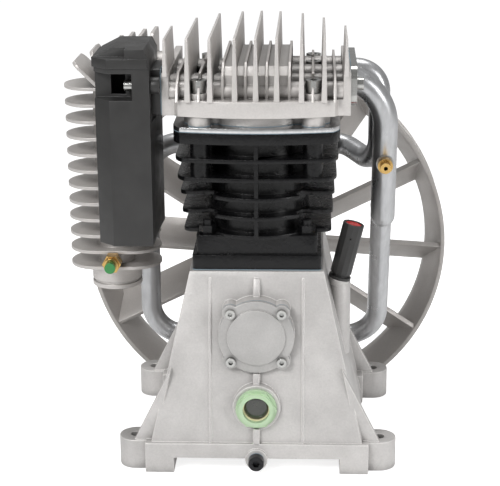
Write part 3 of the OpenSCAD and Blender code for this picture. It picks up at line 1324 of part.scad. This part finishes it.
valve_y = column_y - column_fin_b - cut;
valve_cap_y = valve_y - valve_hex_len - valve_ring_len;
module at_valve() translate([-column_x, 0, valve_z]) children();
module safety_valve_body() color("#b98a3c") at_valve() difference() {
    union() {
        ycyl(valve_shank_r, valve_y - cut, column_y - column_r + column_wall / 2);
        ybar(valve_hex_r, 6, valve_y - valve_hex_len, valve_y);
        ycyl(valve_ring_r, valve_cap_y, valve_y - valve_hex_len);
    }
    ycyl(spring_r + 2 * spring_wire_r, valve_cap_y - cut, valve_y - valve_hex_len / 2);
    ycyl(valve_stem_r + loose_fit, valve_y - valve_hex_len, column_y);
}

module safety_valve_cap() color("#3f8f4e") at_valve() {
    ycyl(valve_cap_r, valve_cap_y - valve_cap_len, valve_cap_y - 2 * loose_fit);
    ycyl(valve_stem_r, valve_cap_y - cut, valve_y);
}

// Points of one ring of a coil's wire
function coil_ring(a, r, wire, pitch) = [for (k = [0:coil_sides - 1]) [(r + wire * cos(k * 360 / coil_sides)) * cos(a),
    (r + wire * cos(k * 360 / coil_sides)) * sin(a), a * pitch / 360 + wire * sin(k * 360 / coil_sides)]];

module coil(r, wire, h, turns) {
    n = turns * spring_steps;
    points = [for (i = [0:n]) each coil_ring(i * 360 / spring_steps, r, wire, (h - 2 * wire) / turns)];
    sides = [for (i = [0:n - 1], k = [0:coil_sides - 1]) [i * coil_sides + k, i * coil_sides + (k + 1) % coil_sides,
        (i + 1) * coil_sides + (k + 1) % coil_sides, (i + 1) * coil_sides + k]];
    low = [[for (k = [coil_sides - 1:-1:0]) k]];
    high = [[for (k = [0:coil_sides - 1]) n * coil_sides + k]];
    translate([0, 0, wire]) polyhedron(points, concat(low, sides, high));
}

module safety_valve_spring() color("#777c80") at_valve() translate([0, valve_cap_y, 0]) rotate([-90, 0, 0])
    coil(spring_r, spring_wire_r, valve_y - valve_hex_len / 2 - valve_cap_y, spring_turns);

/* Flywheel */
groove_at = [groove_front_share * wheel_w, groove_back_share * wheel_w];
groove_floor = groove_w * groove_low_share / 2;
module rim_profile() polygon([[wheel_r, 0], [wheel_r, groove_at[0] - groove_w / 2],
    [wheel_r - groove_depth, groove_at[0] - groove_floor], [wheel_r - groove_depth, groove_at[0] + groove_floor],
    [wheel_r, groove_at[0] + groove_w / 2], [wheel_r, groove_at[1] - groove_w / 2],
    [wheel_r - groove_depth, groove_at[1] - groove_floor], [wheel_r - groove_depth, groove_at[1] + groove_floor],
    [wheel_r, groove_at[1] + groove_w / 2], [wheel_r, wheel_w], [wheel_r - rim_back_thick, wheel_w],
    [wheel_r - rim_back_thick, rim_cone_depth], [wheel_r - rim_lip, 0]]);

// Space of the spokes, from inside the hub to just inside the rim
module spoke_space() polygon([[hub_r - spoke_t / 2, 0], [wheel_r - rim_lip + cut, 0],
    [wheel_r - rim_back_thick + cut, rim_cone_depth], [wheel_r - rim_back_thick + cut, wheel_w], [hub_r - spoke_t / 2, wheel_w]]);

module flywheel() color("#bfc2c4") at_crank() difference() {
    union() {
        translate([0, wheel_y, 0]) yturn() rim_profile();
        intersection() {
            translate([0, wheel_y, 0]) yturn() spoke_space();
            for (i = [0:wheel_spokes - 1]) rotate([0, spoke_start - i * 360 / wheel_spokes, 0])
                translate([0, wheel_y + spoke_mid, 0]) rotate([-spoke_tilt, 0, 0])
                    translate([0, -spoke_w / 2, -spoke_t / 2]) cube([wheel_r, spoke_w, spoke_t]);
        }
        ycyl(hub_r, hub_y0, hub_y1);
    }
    ycyl(seat_r + run_fit, hub_y0 - cut, hub_y1 + cut);
}

module flywheel_washer() color("#8b9092") at_crank() difference() {
    ycyl(seat_r + washer_lap, hub_y1, hub_y1 + washer_t);
    ycyl(wheel_bolt_r + loose_fit, hub_y1 - cut, hub_y1 + washer_t + cut);
}

module flywheel_bolt() color("#6f7577") at_crank() union() {
    ybar(wheel_bolt_head_r, 6, hub_y1 + washer_t, hub_y1 + washer_t + wheel_bolt_head_h);
    ycyl(wheel_bolt_r, shaft_end - wheel_bolt_len + 2 * cut, hub_y1 + washer_t + cut);
}

crankcase();
front_cover_gasket();
front_cover();
front_cover_screws();
sight_glass_ring();
sight_glass_lens();
drain_washer();
drain_plug();
breather_body();
breather_insert();
breather_o_ring();
bearing_housing_gasket();
bearing_housing();
bearing_housing_screws();
front_bearing();
rear_bearing();
shaft_seal();
crankshaft();
low_rod();
low_rod_cap();
high_rod();
high_rod_cap();
rod_bolts();
low_piston();
high_piston();
piston_rings();
wrist_pins();
block_gasket();
cylinder_block();
block_studs();
valve_plate_gasket();
valve_plate();
reed_valves();
head_gasket();
cylinder_head();
head_bolts();
pipe_flange_gasket();
pipe_flange();
pipe_flange_bolts();
first_stage_pipe();
intercooler_pipe();
pipe_fitting();
filter_gasket();
filter_elbow();
filter_housing();
filter_back();
filter_element();
filter_bolt();
aftercooler_gasket();
aftercooler();
aftercooler_bolts();
safety_valve_body();
safety_valve_spring();
safety_valve_cap();
flywheel();
flywheel_washer();
flywheel_bolt();
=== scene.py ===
import json
import math

import bmesh
import bpy
from mathutils import Matrix, Vector

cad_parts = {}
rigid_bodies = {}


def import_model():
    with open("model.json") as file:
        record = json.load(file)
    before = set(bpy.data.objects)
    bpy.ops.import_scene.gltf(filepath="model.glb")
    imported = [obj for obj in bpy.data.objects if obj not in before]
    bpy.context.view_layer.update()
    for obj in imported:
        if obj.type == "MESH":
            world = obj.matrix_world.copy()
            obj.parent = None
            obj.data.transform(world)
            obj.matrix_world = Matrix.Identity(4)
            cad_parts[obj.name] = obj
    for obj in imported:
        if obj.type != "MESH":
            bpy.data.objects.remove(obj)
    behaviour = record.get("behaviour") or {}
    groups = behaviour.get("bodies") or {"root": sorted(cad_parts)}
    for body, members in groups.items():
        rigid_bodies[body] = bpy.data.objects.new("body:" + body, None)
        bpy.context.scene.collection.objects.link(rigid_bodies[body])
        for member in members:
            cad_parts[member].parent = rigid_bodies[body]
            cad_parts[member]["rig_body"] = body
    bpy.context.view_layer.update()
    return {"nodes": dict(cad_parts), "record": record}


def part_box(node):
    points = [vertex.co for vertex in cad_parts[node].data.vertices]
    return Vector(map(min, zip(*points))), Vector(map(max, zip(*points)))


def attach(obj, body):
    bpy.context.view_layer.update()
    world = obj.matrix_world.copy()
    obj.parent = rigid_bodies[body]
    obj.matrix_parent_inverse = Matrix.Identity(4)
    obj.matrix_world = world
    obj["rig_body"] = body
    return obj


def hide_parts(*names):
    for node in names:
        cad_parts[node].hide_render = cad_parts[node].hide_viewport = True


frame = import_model()
nodes = frame["nodes"]
scene = bpy.context.scene
SLOT_OF = {entry["node"]: entry["material_slot"] for entry in frame["record"]["subparts"]}

# Lengths are in metres, angles in degrees and lamps in watts, unless a name says otherwise.
# Colours are linear.


# Camera: fitted to the parallel edges of the crankcase, the fins and the feet

CAMERA_YAW, CAMERA_PITCH, CAMERA_ROLL = -2.5386, 17.2068, -0.4732
CAMERA_PLACE = (0.0529, -1.4109, 0.6380)
CAMERA_LENS_MM = 104.9
CAMERA_SENSOR_MM = 36
CAMERA_NEAR, CAMERA_FAR = 0.05, 50


def add_camera():
    yaw, pitch, roll = (math.radians(angle) for angle in (CAMERA_YAW, CAMERA_PITCH, CAMERA_ROLL))
    ahead = Vector((math.sin(yaw) * math.cos(pitch), math.cos(yaw) * math.cos(pitch), -math.sin(pitch)))
    level = Vector((math.cos(yaw), -math.sin(yaw), 0))
    above = level.cross(ahead)
    right = level * math.cos(roll) + above * math.sin(roll)
    up = above * math.cos(roll) - level * math.sin(roll)
    data = bpy.data.cameras.new("camera")
    data.sensor_width = CAMERA_SENSOR_MM
    data.lens = CAMERA_LENS_MM
    data.clip_start = CAMERA_NEAR
    data.clip_end = CAMERA_FAR
    camera = bpy.data.objects.new("camera", data)
    turn = Matrix((right, up, -ahead)).transposed().to_4x4()
    camera.matrix_world = Matrix.Translation(Vector(CAMERA_PLACE)) @ turn
    scene.collection.objects.link(camera)
    scene.camera = camera


add_camera()
scene.view_settings.view_transform = "Standard"


# Shader nodes

RAY_SAMPLES = 6
# On castings the same edge mask carries a painted highlight as well as wear.
FULL_EDGE_COSINE = 0.86  # between the real and the rounded normal, where an edge counts as fully worn
NOISE_LOW, NOISE_HIGH = 0.3, 0.7  # noise seldom leaves this range
WHITE = (1, 1, 1, 1)


def new_material(name):
    material = bpy.data.materials.new(name)
    material.use_nodes = True
    tree = material.node_tree
    shader = tree.nodes["Principled BSDF"]
    return material, tree, shader


def noise(tree, scale, detail, rough=0.55, stretch=None):
    source = tree.nodes.new("ShaderNodeTexCoord").outputs["Object"]
    if stretch:
        mapping = tree.nodes.new("ShaderNodeMapping")
        mapping.inputs["Scale"].default_value = stretch
        tree.links.new(source, mapping.inputs["Vector"])
        source = mapping.outputs["Vector"]
    field = tree.nodes.new("ShaderNodeTexNoise")
    field.inputs["Scale"].default_value = scale
    field.inputs["Detail"].default_value = detail
    field.inputs["Roughness"].default_value = rough
    tree.links.new(source, field.inputs["Vector"])
    return field.outputs["Fac"]


def remap(tree, source, low, high, to_low, to_high):
    node = tree.nodes.new("ShaderNodeMapRange")
    node.inputs["From Min"].default_value = low
    node.inputs["From Max"].default_value = high
    node.inputs["To Min"].default_value = to_low
    node.inputs["To Max"].default_value = to_high
    tree.links.new(source, node.inputs["Value"])
    return node.outputs["Result"]


def vary(tree, field, to_low=0, to_high=1):
    return remap(tree, field, NOISE_LOW, NOISE_HIGH, to_low, to_high)


def mix(tree, factor, first, second, way="MIX"):
    node = tree.nodes.new("ShaderNodeMix")
    node.data_type = "RGBA"
    node.blend_type = way
    for key, value in (("Factor", factor), ("A", first), ("B", second)):
        if isinstance(value, bpy.types.NodeSocket):
            tree.links.new(value, node.inputs[key])
        elif isinstance(value, (int, float)):
            node.inputs[key].default_value = value
        else:
            node.inputs[key].default_value = (*value, 1)
    return node.outputs["Result"]


def combine(tree, operation, first, second):
    node = tree.nodes.new("ShaderNodeMath")
    node.operation = operation
    tree.links.new(first, node.inputs[0])
    tree.links.new(second, node.inputs[1])
    return node.outputs["Value"]


def soft_edge(tree, radius):
    """The normal of a surface whose edges are rounded by radius."""
    node = tree.nodes.new("ShaderNodeBevel")
    node.samples = RAY_SAMPLES
    node.inputs["Radius"].default_value = radius
    return node.outputs["Normal"]


def edge_mask(tree, rounded):
    """1 where the rounded normal leaves the real one, at the edges."""
    geometry = tree.nodes.new("ShaderNodeNewGeometry")
    dot = tree.nodes.new("ShaderNodeVectorMath")
    dot.operation = "DOT_PRODUCT"
    tree.links.new(rounded, dot.inputs[0])
    tree.links.new(geometry.outputs["Normal"], dot.inputs[1])
    return remap(tree, dot.outputs["Value"], 1.0, FULL_EDGE_COSINE, 0.0, 1.0)


def crevice(tree, distance):
    """0 deep in a corner and 1 on open surface."""
    node = tree.nodes.new("ShaderNodeAmbientOcclusion")
    node.samples = RAY_SAMPLES
    node.inputs["Distance"].default_value = distance
    return node.outputs["AO"]


def bump(tree, shader, heights, rounded=None):
    """Chains bumps of (height, strength, distance) over the rounded normal."""
    last = rounded
    for height, strength, distance in heights:
        node = tree.nodes.new("ShaderNodeBump")
        node.inputs["Strength"].default_value = strength
        node.inputs["Distance"].default_value = distance
        tree.links.new(height, node.inputs["Height"])
        if last is not None:
            tree.links.new(last, node.inputs["Normal"])
        last = node.outputs["Normal"]
    tree.links.new(last, shader.inputs["Normal"])


def tint(color, factor, lift=0.0):
    return [min(1, c * factor + lift) for c in color]


def finish(tree, shader, base, roughness, **values):
    """Links colour and roughness, and sets the shader's own sockets by their names."""
    tree.links.new(base, shader.inputs["Base Color"])
    tree.links.new(roughness, shader.inputs["Roughness"])
    for key, value in values.items():
        shader.inputs[key.replace("_", " ")].default_value = value


# Materials

# Noise scales of cast metal, per metre; the specks' scale is a share of the grain's
CAST_PATCHES, CAST_LUMPS, CAST_SHEEN, CAST_SPECKS = 22, 130, 60, 0.45
CAST_GRAIN_HEIGHT, CAST_LUMP_HEIGHT = 0.0006, 0.0012
# Painted shade: a near-black colour mixed into the corners that ambient occlusion finds, over this reach.
CAST_CREVICE_SHADE, CAST_SHADE_REACH = (0.02, 0.019, 0.018), 0.014
TURNED_CLOUDS, TURNED_MARK_HEIGHT = 45, 0.0003
# Painted shade: a near-black colour mixed into the recesses that ambient occlusion finds, over this reach.
TURNED_RECESS_SHADE, TURNED_SHADE_REACH = (0.015, 0.015, 0.016), 0.006
MOULD_CLOUDS, MOULD_SHEEN, MOULD_GRAIN_HEIGHT = 30, 80, 0.0003
CLEAR_STREAKS, CLEAR_RIPPLES, CLEAR_RIPPLE_HEIGHT = 70, 260, 0.0004


def casting(name, color, metallic=0.45, rough=0.42, grain=1500, grain_depth=0.2, edge=0.0009, crevice_shade=0.55,
            bright=1.15, coat=0.0, gloss=0.5, blotch=0.04, edge_wear_and_highlight_color=None, lump=0.08):
    """Cast metal: grain of the sand, slow patches, painted shade in the corners, rounded edges brightened
    partly as wear and partly as painted highlight.
    """
    material, tree, shader = new_material(name)
    rounded = soft_edge(tree, edge)
    fine = noise(tree, grain, 2, 0.7)
    base = mix(tree, vary(tree, noise(tree, CAST_PATCHES, 4)), tint(color, 1 - blotch), tint(color, 1 + blotch))
    speck = remap(tree, noise(tree, grain * CAST_SPECKS, 4, 0.8), 0.35, 0.65, 0.93, 1.04)
    base = mix(tree, 1.0, base, speck, "MULTIPLY")
    # Painted shade: darkens the colour towards near-black deep in corners and crevices.
    base = mix(tree, remap(tree, crevice(tree, CAST_SHADE_REACH), 0.15, 0.75, 1 - crevice_shade, 1), CAST_CREVICE_SHADE, base)
    # Edges lightened towards a brighter colour: partly wear, partly painted highlight.
    base = mix(tree, edge_mask(tree, rounded), base, edge_wear_and_highlight_color or tint(color, bright))
    roughness = vary(tree, noise(tree, CAST_SHEEN, 5), rough - 0.07, rough + 0.09)
    finish(tree, shader, base, roughness, Metallic=metallic, Specular_IOR_Level=gloss, Coat_Weight=coat,
           Coat_Roughness=0.22)
    lumps = noise(tree, CAST_LUMPS, 3)
    bump(tree, shader, [(fine, grain_depth, CAST_GRAIN_HEIGHT), (lumps, lump, CAST_LUMP_HEIGHT)], rounded)
    return material


def machined(name, color, metallic=1.0, rough=0.28, stretch=(1, 1, 40), scale=60, depth=0.08):
    """Turned or ground metal: fine tool marks along one direction."""
    material, tree, shader = new_material(name)
    rounded = soft_edge(tree, 0.0004)
    marks = noise(tree, scale, 3, 0.6, stretch)
    base = mix(tree, vary(tree, marks), tint(color, 0.88), tint(color, 1.08))
    # Painted shade: darkens the colour towards near-black in recesses and corners.
    base = mix(tree, remap(tree, crevice(tree, TURNED_SHADE_REACH), 0.2, 0.8, 0.45, 1), TURNED_RECESS_SHADE, base)
    roughness = vary(tree, noise(tree, TURNED_CLOUDS, 4), rough - 0.06, rough + 0.1)
    finish(tree, shader, base, roughness, Metallic=metallic)
    bump(tree, shader, [(marks, depth, TURNED_MARK_HEIGHT)], rounded)
    return material


def moulded(name, color, rough, grain=1400, depth=0.2, edge=0.0007, coat=0.0, metallic=0.0):
    """Moulded plastic or rubber: fine spark-eroded grain, faint scuffs, worn edges."""
    material, tree, shader = new_material(name)
    rounded = soft_edge(tree, edge)
    clouds = remap(tree, noise(tree, MOULD_CLOUDS, 5), 0.35, 0.7, 0, 1)
    base = mix(tree, clouds, color, tint(color, 1.25, 0.004))
    base = mix(tree, edge_mask(tree, rounded), base, tint(color, 1.4, 0.02))
    roughness = vary(tree, noise(tree, MOULD_SHEEN, 4), rough - 0.06, rough + 0.08)
    finish(tree, shader, base, roughness, Metallic=metallic, Coat_Weight=coat, Coat_Roughness=0.15)
    bump(tree, shader, [(noise(tree, grain, 2, 0.6), depth, MOULD_GRAIN_HEIGHT)], rounded)
    return material


def clear(name, color, rough, transmission, ior=1.45):
    """Clear moulded plastic or glass with faint streaks."""
    material, tree, shader = new_material(name)
    streaks = noise(tree, CLEAR_STREAKS, 3)
    base = mix(tree, vary(tree, streaks), color, tint(color, 1.08))
    roughness = vary(tree, streaks, rough, rough + 0.08)
    finish(tree, shader, base, roughness, Transmission_Weight=transmission, IOR=ior)
    bump(tree, shader, [(noise(tree, CLEAR_RIPPLES, 2), 0.05, CLEAR_RIPPLE_HEIGHT)])
    return material


SLOTS = {
    "cast_aluminium": casting("cast_aluminium", (0.59, 0.573, 0.56), metallic=0.4, rough=0.43, grain=1100,
                              grain_depth=0.4, blotch=0.11, lump=0.2, bright=1.6, edge=0.0014),
    "wheel_aluminium": casting("wheel_aluminium", (0.50, 0.475, 0.455), metallic=0.5, crevice_shade=0.35),
    "black_casting": casting("black_casting", (0.004, 0.004, 0.0045), metallic=0.0, rough=0.24, grain=420,
                             grain_depth=0.75, edge=0.0013, crevice_shade=0.3, coat=0.25, gloss=0.2, blotch=0.2,
                             edge_wear_and_highlight_color=(0.012, 0.012, 0.0125), lump=0.6),
    "plated_steel": machined("plated_steel", (0.50, 0.50, 0.485), rough=0.22),
    "machined_steel": machined("machined_steel", (0.66, 0.665, 0.67), rough=0.22, stretch=(1, 30, 1)),
    "dark_steel": machined("dark_steel", (0.035, 0.035, 0.037), rough=0.35, metallic=0.9),
    "pipe_metal": machined("pipe_metal", (0.52, 0.525, 0.535), metallic=0.8, rough=0.3, stretch=(6, 6, 1),
                           scale=40, depth=0.03),
    "brass": machined("brass", (0.72, 0.47, 0.17), rough=0.24),
    "black_plastic": moulded("black_plastic", (0.022, 0.0215, 0.021), rough=0.4),
    "red_plastic": moulded("red_plastic", (0.55, 0.01, 0.008), rough=0.22, depth=0.05, coat=0.4),
    "rubber": moulded("rubber", (0.02, 0.02, 0.02), rough=0.7),
    "gasket": moulded("gasket", (0.17, 0.23, 0.27), rough=0.75, grain=700, depth=0.35, edge=0.0002),
    "foam": moulded("foam", (0.52, 0.47, 0.34), rough=0.9, grain=500, depth=0.9, edge=0.0008),
    "green_cap": moulded("green_cap", (0.02, 0.22, 0.045), rough=0.2, depth=0.04, coat=0.6, metallic=0.3),
    "green_plastic": clear("green_plastic", (0.72, 0.95, 0.64), rough=0.05, transmission=0.4),
    "glass_dark": clear("glass_dark", (0.10, 0.11, 0.06), rough=0.03, transmission=0.25, ior=1.5),
}
# Nodes that look different from the rest of their slot
SPECIAL = {
    "cylinder_head": casting("head_aluminium", (0.63, 0.605, 0.585), crevice_shade=0.7),
    "aftercooler": casting("cooler_aluminium", (0.60, 0.575, 0.555), crevice_shade=0.65),
    "front_cover": casting("cover_aluminium", (0.49, 0.48, 0.47), grain=1300, grain_depth=0.4, crevice_shade=0.5,
                           blotch=0.12, lump=0.1, bright=1.5),
    "block_studs": SLOTS["black_casting"],
}


def dress(obj, material):
    obj.data.materials.clear()
    obj.data.materials.append(material)


for node_name, slot_name in SLOT_OF.items():
    dress(nodes[node_name], SPECIAL.get(node_name, SLOTS[slot_name]))


# Pieces

def new_object(name, work, material):
    """An object from a bmesh, which is freed."""
    mesh = bpy.data.meshes.new(name)
    work.to_mesh(mesh)
    work.free()
    obj = bpy.data.objects.new(name, mesh)
    scene.collection.objects.link(obj)
    dress(obj, material)
    return obj


LATHE_STEPS = 64


def lathe(name, profile, centre, material, ring_form=False):
    """A turned form about a line along Y through centre; profile gives (radius, distance along Y)."""
    work = bmesh.new()
    rings = []
    for radius, along in profile:
        ring = []
        for i in range(LATHE_STEPS):
            angle = 2 * math.pi * i / LATHE_STEPS
            ring.append(work.verts.new((centre[0] + radius * math.cos(angle), along,
                                        centre[2] + radius * math.sin(angle))))
        rings.append(ring)
    for first, second in zip(rings, rings[1:] + (rings[:1] if ring_form else [])):
        for i in range(LATHE_STEPS):
            j = (i + 1) % LATHE_STEPS
            work.faces.new((first[i], first[j], second[j], second[i]))
    if not ring_form:
        work.faces.new(rings[0])
        work.faces.new(rings[-1])
    bmesh.ops.recalc_face_normals(work, faces=work.faces)
    for face in work.faces:
        face.smooth = len(face.verts) == 4
    obj = new_object(name, work, material)
    return obj


DISH_LIP_WIDTH, DISH_LIP_DEPTH, DISH_FLOOR_DEPTH = 0.0008, 0.0002, 0.0024
DISH_BORE = 0.92  # shares of the lens's radius
PANE_EDGE, PANE_SHOULDER, PANE_CROWN = 0.91, 0.78, 0.35


def sight_glass():
    """A cream dish with a dark pane at its bottom, in the lens's place."""
    low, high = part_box("sight_glass_lens")
    centre = (low + high) / 2
    radius = (high.x - low.x) / 2
    front, back = low.y, high.y
    cream = moulded("dish_cream", (0.62, 0.58, 0.36), rough=0.3, depth=0.05, coat=0.5, edge=0.0003)
    dark_pane = moulded("dark_pane", (0.022, 0.024, 0.018), rough=0.08, depth=0.02, coat=1.0, edge=0.0003)
    dish_profile = [(radius, front + DISH_LIP_DEPTH), (radius - DISH_LIP_WIDTH, front + DISH_LIP_DEPTH),
                    (radius * DISH_BORE, front + DISH_FLOOR_DEPTH), (radius * DISH_BORE, back), (radius, back)]
    pane_profile = [(0.0005, front + 0.0018), (radius * PANE_CROWN, front + 0.0019),
                    (radius * PANE_SHOULDER, front + 0.0022), (radius * PANE_EDGE, front + 0.0028),
                    (radius * PANE_EDGE, back - 0.0005)]
    dish = lathe("sight_dish", dish_profile, centre, cream, ring_form=True)
    pane = lathe("sight_pane", pane_profile, centre, dark_pane)
    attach(dish, "pump")
    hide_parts("sight_glass_lens")
    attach(pane, "pump")


sight_glass()


# Widths of the rounded edges
EDGE_ROUNDS = {
    "crankcase": 0.0007, "front_cover": 0.0005, "filter_housing": 0.0006, "cylinder_block": 0.0006,
    "cylinder_head": 0.0004, "aftercooler": 0.0003, "flywheel": 0.0006, "filter_elbow": 0.0004,
    "breather_body": 0.0003, "bearing_housing": 0.0005, "valve_plate": 0.0003,
}
WELD = 2e-6
FLAT_ANGLE, BEVEL_ANGLE, CREASE_ANGLE = 0.4, 32, 28


def soften(node, width):
    """A copy of a casting with its sharp edges rounded, in the node's place."""
    source = nodes[node]
    work = bmesh.new()
    work.from_mesh(source.data)
    bmesh.ops.remove_doubles(work, verts=work.verts, dist=WELD)
    bmesh.ops.dissolve_limit(work, angle_limit=math.radians(FLAT_ANGLE), verts=work.verts, edges=work.edges)
    sharp = [edge for edge in work.edges
             if len(edge.link_faces) == 2 and edge.calc_face_angle(0) > math.radians(BEVEL_ANGLE)
             and edge.is_convex]
    bmesh.ops.bevel(work, geom=sharp, offset=width, offset_type="OFFSET", segments=2, profile=0.6,
                    affect="EDGES", clamp_overlap=False)
    bmesh.ops.triangulate(work, faces=[face for face in work.faces if len(face.verts) > 4])
    for face in work.faces:
        face.smooth = True
    for edge in work.edges:
        edge.smooth = not (len(edge.link_faces) == 2
                           and edge.calc_face_angle(0) > math.radians(CREASE_ANGLE))
    piece = new_object(node + "_cast", work, source.data.materials[0])
    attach(piece, source["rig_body"])
    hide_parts(node)


for casting_node, edge_round in EDGE_ROUNDS.items():
    soften(casting_node, edge_round)


# Stage: a bench that ends in front of the flywheel's rim, and the floor below

BENCH = ((-0.9, -1.1, -0.13), (0.9, 0.17, -0.0003))
FLOOR = ((-9, -9, -0.15), (9, 9, -0.13))
PAPER_GLOW = (("Is Camera Ray", 0.75), ("Is Glossy Ray", 0.2), ("Is Transmission Ray", 0.3))


def stage_box(name, low, high, material):
    work = bmesh.new()
    bmesh.ops.create_cube(work, size=1)
    for vertex in work.verts:
        vertex.co = Vector([(low[i] + high[i]) / 2 + vertex.co[i] * (high[i] - low[i]) for i in range(3)])
    new_object(name, work, material)


def paper():
    """White paper that glows towards the camera and in reflections, and keeps the shadow."""
    material, tree, shader = new_material("white_paper")
    base = mix(tree, noise(tree, 3, 2), (0.80, 0.80, 0.80), (0.84, 0.84, 0.84))
    tree.links.new(base, shader.inputs["Base Color"])
    shader.inputs["Roughness"].default_value = 0.9
    shader.inputs["Specular IOR Level"].default_value = 0.1
    shader.inputs["Emission Color"].default_value = WHITE
    rays = tree.nodes.new("ShaderNodeLightPath")
    camera, glossy, through = (remap(tree, rays.outputs[ray], 0, 1, 0, glow) for ray, glow in PAPER_GLOW)
    total = combine(tree, "ADD", combine(tree, "ADD", camera, glossy), through)
    tree.links.new(total, shader.inputs["Emission Strength"])
    return material


white_paper = paper()
stage_box("bench", *BENCH, white_paper)
stage_box("floor", *FLOOR, white_paper)


# Light: a white room and three soft lamps

ROOM_LIGHT, ROOM_SEEN = 0.34, 1.0
LAMPS = (
    {"name": "key", "place": (-0.9, -1.5, 1.5), "target": (0, 0, 0.2), "size": (0.7, 0.7), "power": 27},
    {"name": "fill", "place": (1.5, -1.1, 0.8), "target": (0, 0, 0.2), "size": (0.4, 1.2), "power": 11},
    {"name": "top", "place": (0.1, 0.4, 1.9), "target": (0, 0.1, 0.2), "size": (1.4, 0.8), "power": 16},
)


def room():
    """A white room, brighter where the camera sees it than where it lights the pump."""
    sky = bpy.data.worlds.new("studio")
    sky.use_nodes = True
    tree = sky.node_tree
    back = tree.nodes["Background"]
    back.inputs["Color"].default_value = WHITE
    rays = tree.nodes.new("ShaderNodeLightPath")
    seen = combine(tree, "MAXIMUM", rays.outputs["Is Camera Ray"], rays.outputs["Is Transmission Ray"])
    tree.links.new(remap(tree, seen, 0, 1, ROOM_LIGHT, ROOM_SEEN), back.inputs["Strength"])
    scene.world = sky


def add_lamp(name, place, target, size, power):
    data = bpy.data.lights.new(name, "AREA")
    data.shape = "RECTANGLE"
    data.size, data.size_y = size
    data.energy = power
    obj = bpy.data.objects.new(name, data)
    obj.location = place
    obj.rotation_euler = (Vector(target) - Vector(place)).to_track_quat("-Z", "Y").to_euler()
    scene.collection.objects.link(obj)


room()
for lamp in LAMPS:
    add_lamp(**lamp)
